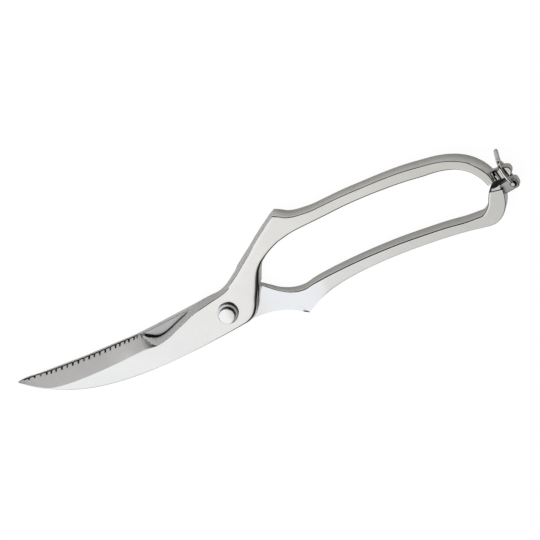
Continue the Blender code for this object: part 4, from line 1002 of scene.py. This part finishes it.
# ------------------------------------------------------------------ wire bail
def build_bail():
    mats = [steel_wire, steel_tab, steel_painted_shade]
    wire, tab, dark = range(3)
    lift = np.array([0, 0, HALF])
    front_leg = smooth(BAIL_PATH, 9)
    back_leg = front_leg[::-1] * np.array([1, 1, -1])
    pit = dict(x=TAB_PIT_AT[0], y=TAB_PIT_AT[1], sides=32)
    leg_end = dict(x=BAIL_AT[0], y=BAIL_AT[1] + 0.3, sides=64)
    end_r, end_low, end_high = 0.85, 2.7, BAIL_LEG_Z + WIRE_R + 0.12
    bail = tube("latch_bail_wire", front_leg + lift, WIRE_R, mats, sides=36)
    carve(bail, [
        (tube("bail_back_leg", back_leg + lift, WIRE_R, mats, sides=36), "UNION"),
        (plate("bail_tab", round_outline(TAB, 0.7), -TAB_HALF, TAB_HALF, mats, tab, rim=0.22),
         "UNION"),
        # painted shade: the pit in the tab is near-black
        (disc("tab_pit", TAB_PIT_R, TAB_HALF - TAB_PIT_DEEP, 3, mats, dark, **pit), "DIFFERENCE"),
        (disc("tab_pit_below", TAB_PIT_R, -3, TAB_PIT_DEEP - TAB_HALF, mats, dark, **pit),
         "DIFFERENCE"),
        (disc("bail_end_front", end_r, end_low, end_high, mats, wire, **leg_end), "UNION"),
        (disc("bail_end_back", end_r, -end_high, -end_low, mats, wire, **leg_end), "UNION"),
    ])
    fit(bail, "bail", "latch_bail", crisp_deg=32)


# ------------------------------------------------------------------ pieces kept from the design
def dress_kept_pieces():
    for node, mat in (("pivot_bush", brass), ("stop_pin", steel_pin)):
        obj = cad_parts[node]
        obj.data.materials.clear()
        obj.data.materials.append(mat)
        soften = obj.modifiers.new("soften", "BEVEL")
        soften.width = 0.08 * MM
        soften.segments = 2
        soften.limit_method = "ANGLE"
        soften.angle_limit = math.radians(50)


build_front()
build_rear()
build_screw()
build_washer()
build_nut()
build_spring()
build_bail()
dress_kept_pieces()

# ------------------------------------------------------------------ camera, floor and light
CAMERA_REACH = 11.5  # metres, as are the other stage sizes unless marked otherwise
SENSOR_WIDTH = 36
FRAME_WIDTH = 248.4 * MM  # width the camera takes in at its target
AIM_RIGHT, AIM_UP = 19.32 * MM, 19.78 * MM  # from the pivot to the middle of the view
tilt = math.radians(24)
up_plan = Vector((0.630, 0.776, 0.0)).normalized()  # up in the view before its roll, in plan
across = Vector((up_plan.y, -up_plan.x, 0.0))
zenith = Vector((0, 0, 1))
back = zenith * math.cos(tilt) + up_plan * math.sin(tilt)  # from the shears to the camera


def build_camera():
    rise = up_plan * math.cos(tilt) - zenith * math.sin(tilt)
    right = across * 0.954 + rise * 0.298  # rolls the view
    right.normalize()
    above = back.cross(right).normalized()
    target = Vector((0, 0, 2 * HALF * MM)) + right * AIM_RIGHT + above * AIM_UP
    data = bpy.data.cameras.new("camera")
    data.sensor_width = SENSOR_WIDTH
    data.lens = SENSOR_WIDTH * CAMERA_REACH / FRAME_WIDTH
    data.clip_start, data.clip_end = 1, 60
    camera = link("camera", data)
    spot = target + back * CAMERA_REACH
    camera.matrix_world = Matrix(((right.x, above.x, back.x, spot.x),
                                  (right.y, above.y, back.y, spot.y),
                                  (right.z, above.z, back.z, spot.z), (0, 0, 0, 1)))
    bpy.context.scene.camera = camera


def empty_material(name):
    made = bpy.data.materials.new(name)
    made.use_nodes = True
    made.node_tree.nodes.clear()
    return made, Tree(made.node_tree)


def build_floor():
    """A pale disc, near white to the camera and a soft grey glow to everything else."""
    mesh = bpy.data.meshes.new("floor")
    bm = bmesh.new()
    bmesh.ops.create_circle(bm, cap_ends=True, segments=96, radius=9.0)
    bm.to_mesh(mesh)
    bm.free()
    floor = link("floor", mesh)
    floor.location = (0.02, 0.01, -0.0002)
    pale, tree = empty_material("pale_floor")
    path = tree.add("ShaderNodeLightPath")
    place = tree.add("ShaderNodeTexCoord").outputs["Object"]
    paper = tree.noise(place, scale=260.0, detail=3)
    matt = tree.add("ShaderNodeBsdfDiffuse", {"Color": (0.16, 0.16, 0.16, 1)}).outputs[0]
    lift = tree.emission((1, 1, 1, 1), tree.linear(paper, gain=0.01, offset=0.945))
    seen = tree.add("ShaderNodeAddShader", {0: matt, 1: lift}).outputs[0]
    grey = tree.add("ShaderNodeBsdfDiffuse", {"Color": (0.78, 0.77, 0.75, 1)}).outputs[0]
    glow = tree.emission((1.0, 0.99, 0.965, 1), strength=0.25)
    bounce = tree.add("ShaderNodeAddShader", {0: grey, 1: glow}).outputs[0]
    choose = tree.add("ShaderNodeMixShader", {0: path.outputs["Is Camera Ray"], 1: bounce, 2: seen})
    tree.add("ShaderNodeOutputMaterial", {"Surface": choose.outputs[0]})
    mesh.materials.append(pale)


def build_softbox():
    """A big softbox overhead, leaning away from the camera and brighter towards -X."""
    reach = 0.6
    u_low, u_high, v_low, v_high = -0.75, 0.2, -0.42, 0.3
    glow_span = 400  # millimetres in x that the brightness stops cover
    glow_stops = [(-200, 1.04), (8, 1.0), (50, 0.88), (82, 0.80), (112, 0.70), (200, 0.66)]
    toward = (zenith * math.cos(tilt) - up_plan * math.sin(tilt)).normalized()
    mesh = bpy.data.meshes.new("softbox")
    side = toward.cross(across).normalized()
    centre = toward * reach
    corners = [centre + across * u + side * v
               for u, v in ((u_low, v_low), (u_high, v_low), (u_high, v_high), (u_low, v_high))]
    mesh.from_pydata([tuple(c) for c in corners], [], [(0, 1, 2, 3)])
    softbox = link("softbox", mesh)
    softbox.visible_camera = False
    softbox.visible_shadow = False
    glowing, tree = empty_material("softbox_glow")
    place = tree.add("ShaderNodeNewGeometry").outputs["Position"]
    lengthwise = tree.math("ADD", tree.axis(place, 0), -centre.x)
    lengthwise = tree.linear(lengthwise, gain=1 / (glow_span * MM), offset=0.5, clamp=True)
    level = tree.ramp(lengthwise, [(x / glow_span + 0.5, v) for x, v in glow_stops])
    # slightly cool towards -X, warm towards +X
    tint = tree.ramp(lengthwise, [(0.2, (0.985, 1.0, 1.02)), (0.5, (1.0, 1.0, 1.0)),
                                  (0.78, (1.0, 0.985, 0.935))])
    tree.add("ShaderNodeOutputMaterial", {"Surface": tree.emission(tint, level)})
    mesh.materials.append(glowing)


def build_world():
    """White to the camera; to the shears, a bright zenith darkened to the sides and at the camera."""
    world = bpy.data.worlds.new("studio")
    bpy.context.scene.world = world
    world.use_nodes = True
    world.node_tree.nodes.clear()
    tree = Tree(world.node_tree)
    direction = tree.add("ShaderNodeTexCoord").outputs["Generated"]

    def facing_of(v):
        return tree.add("ShaderNodeVectorMath", {0: direction, 1: tuple(v)},
                        operation="DOT_PRODUCT").outputs["Value"]

    def fall(value, start, end, first, last):
        """Eases from first to last as the value goes from start to end."""
        return tree.add("ShaderNodeMapRange", {"Value": value, 1: start, 2: end, 3: first, 4: last},
                        interpolation_type="SMOOTHSTEP").outputs[0]

    upward = facing_of(zenith)
    sky = tree.ramp(tree.math("MAXIMUM", upward, 0.0), [
        (0.0, 0.2), (0.12, 0.07), (0.45, 0.06), (0.62, 0.4), (0.8, 0.8), (1.0, 0.95)])
    sides = tree.math("MULTIPLY",
                      fall(facing_of(across), start=0.08, end=0.5, first=1.0, last=0.12),
                      fall(facing_of(across), start=-0.35, end=-0.85, first=1.0, last=0.2))
    camera_side = fall(tree.math("ARCTAN2", facing_of(up_plan), upward),
                       start=math.radians(4), end=math.radians(28), first=1.0, last=0.1)
    lens_spot = fall(facing_of(back), start=math.cos(math.radians(19)),
                     end=math.cos(math.radians(9)), first=1.0, last=0.06)
    level = tree.math("MULTIPLY", tree.math("MULTIPLY", sky, sides),
                      tree.math("MULTIPLY", camera_side, lens_spot))
    path = tree.add("ShaderNodeLightPath")
    shown = tree.add("ShaderNodeBackground", {"Color": (1, 1, 1, 1), "Strength": 1.0}).outputs[0]
    light = tree.add("ShaderNodeBackground", {"Color": (1.0, 0.998, 0.99, 1), "Strength": level})
    choose = tree.add("ShaderNodeMixShader", {0: path.outputs["Is Camera Ray"],
                                              1: light.outputs[0], 2: shown})
    tree.add("ShaderNodeOutputWorld", {"Surface": choose.outputs[0]})


build_camera()
build_floor()
build_softbox()
build_world()
bpy.context.scene.view_settings.view_transform = "Standard"
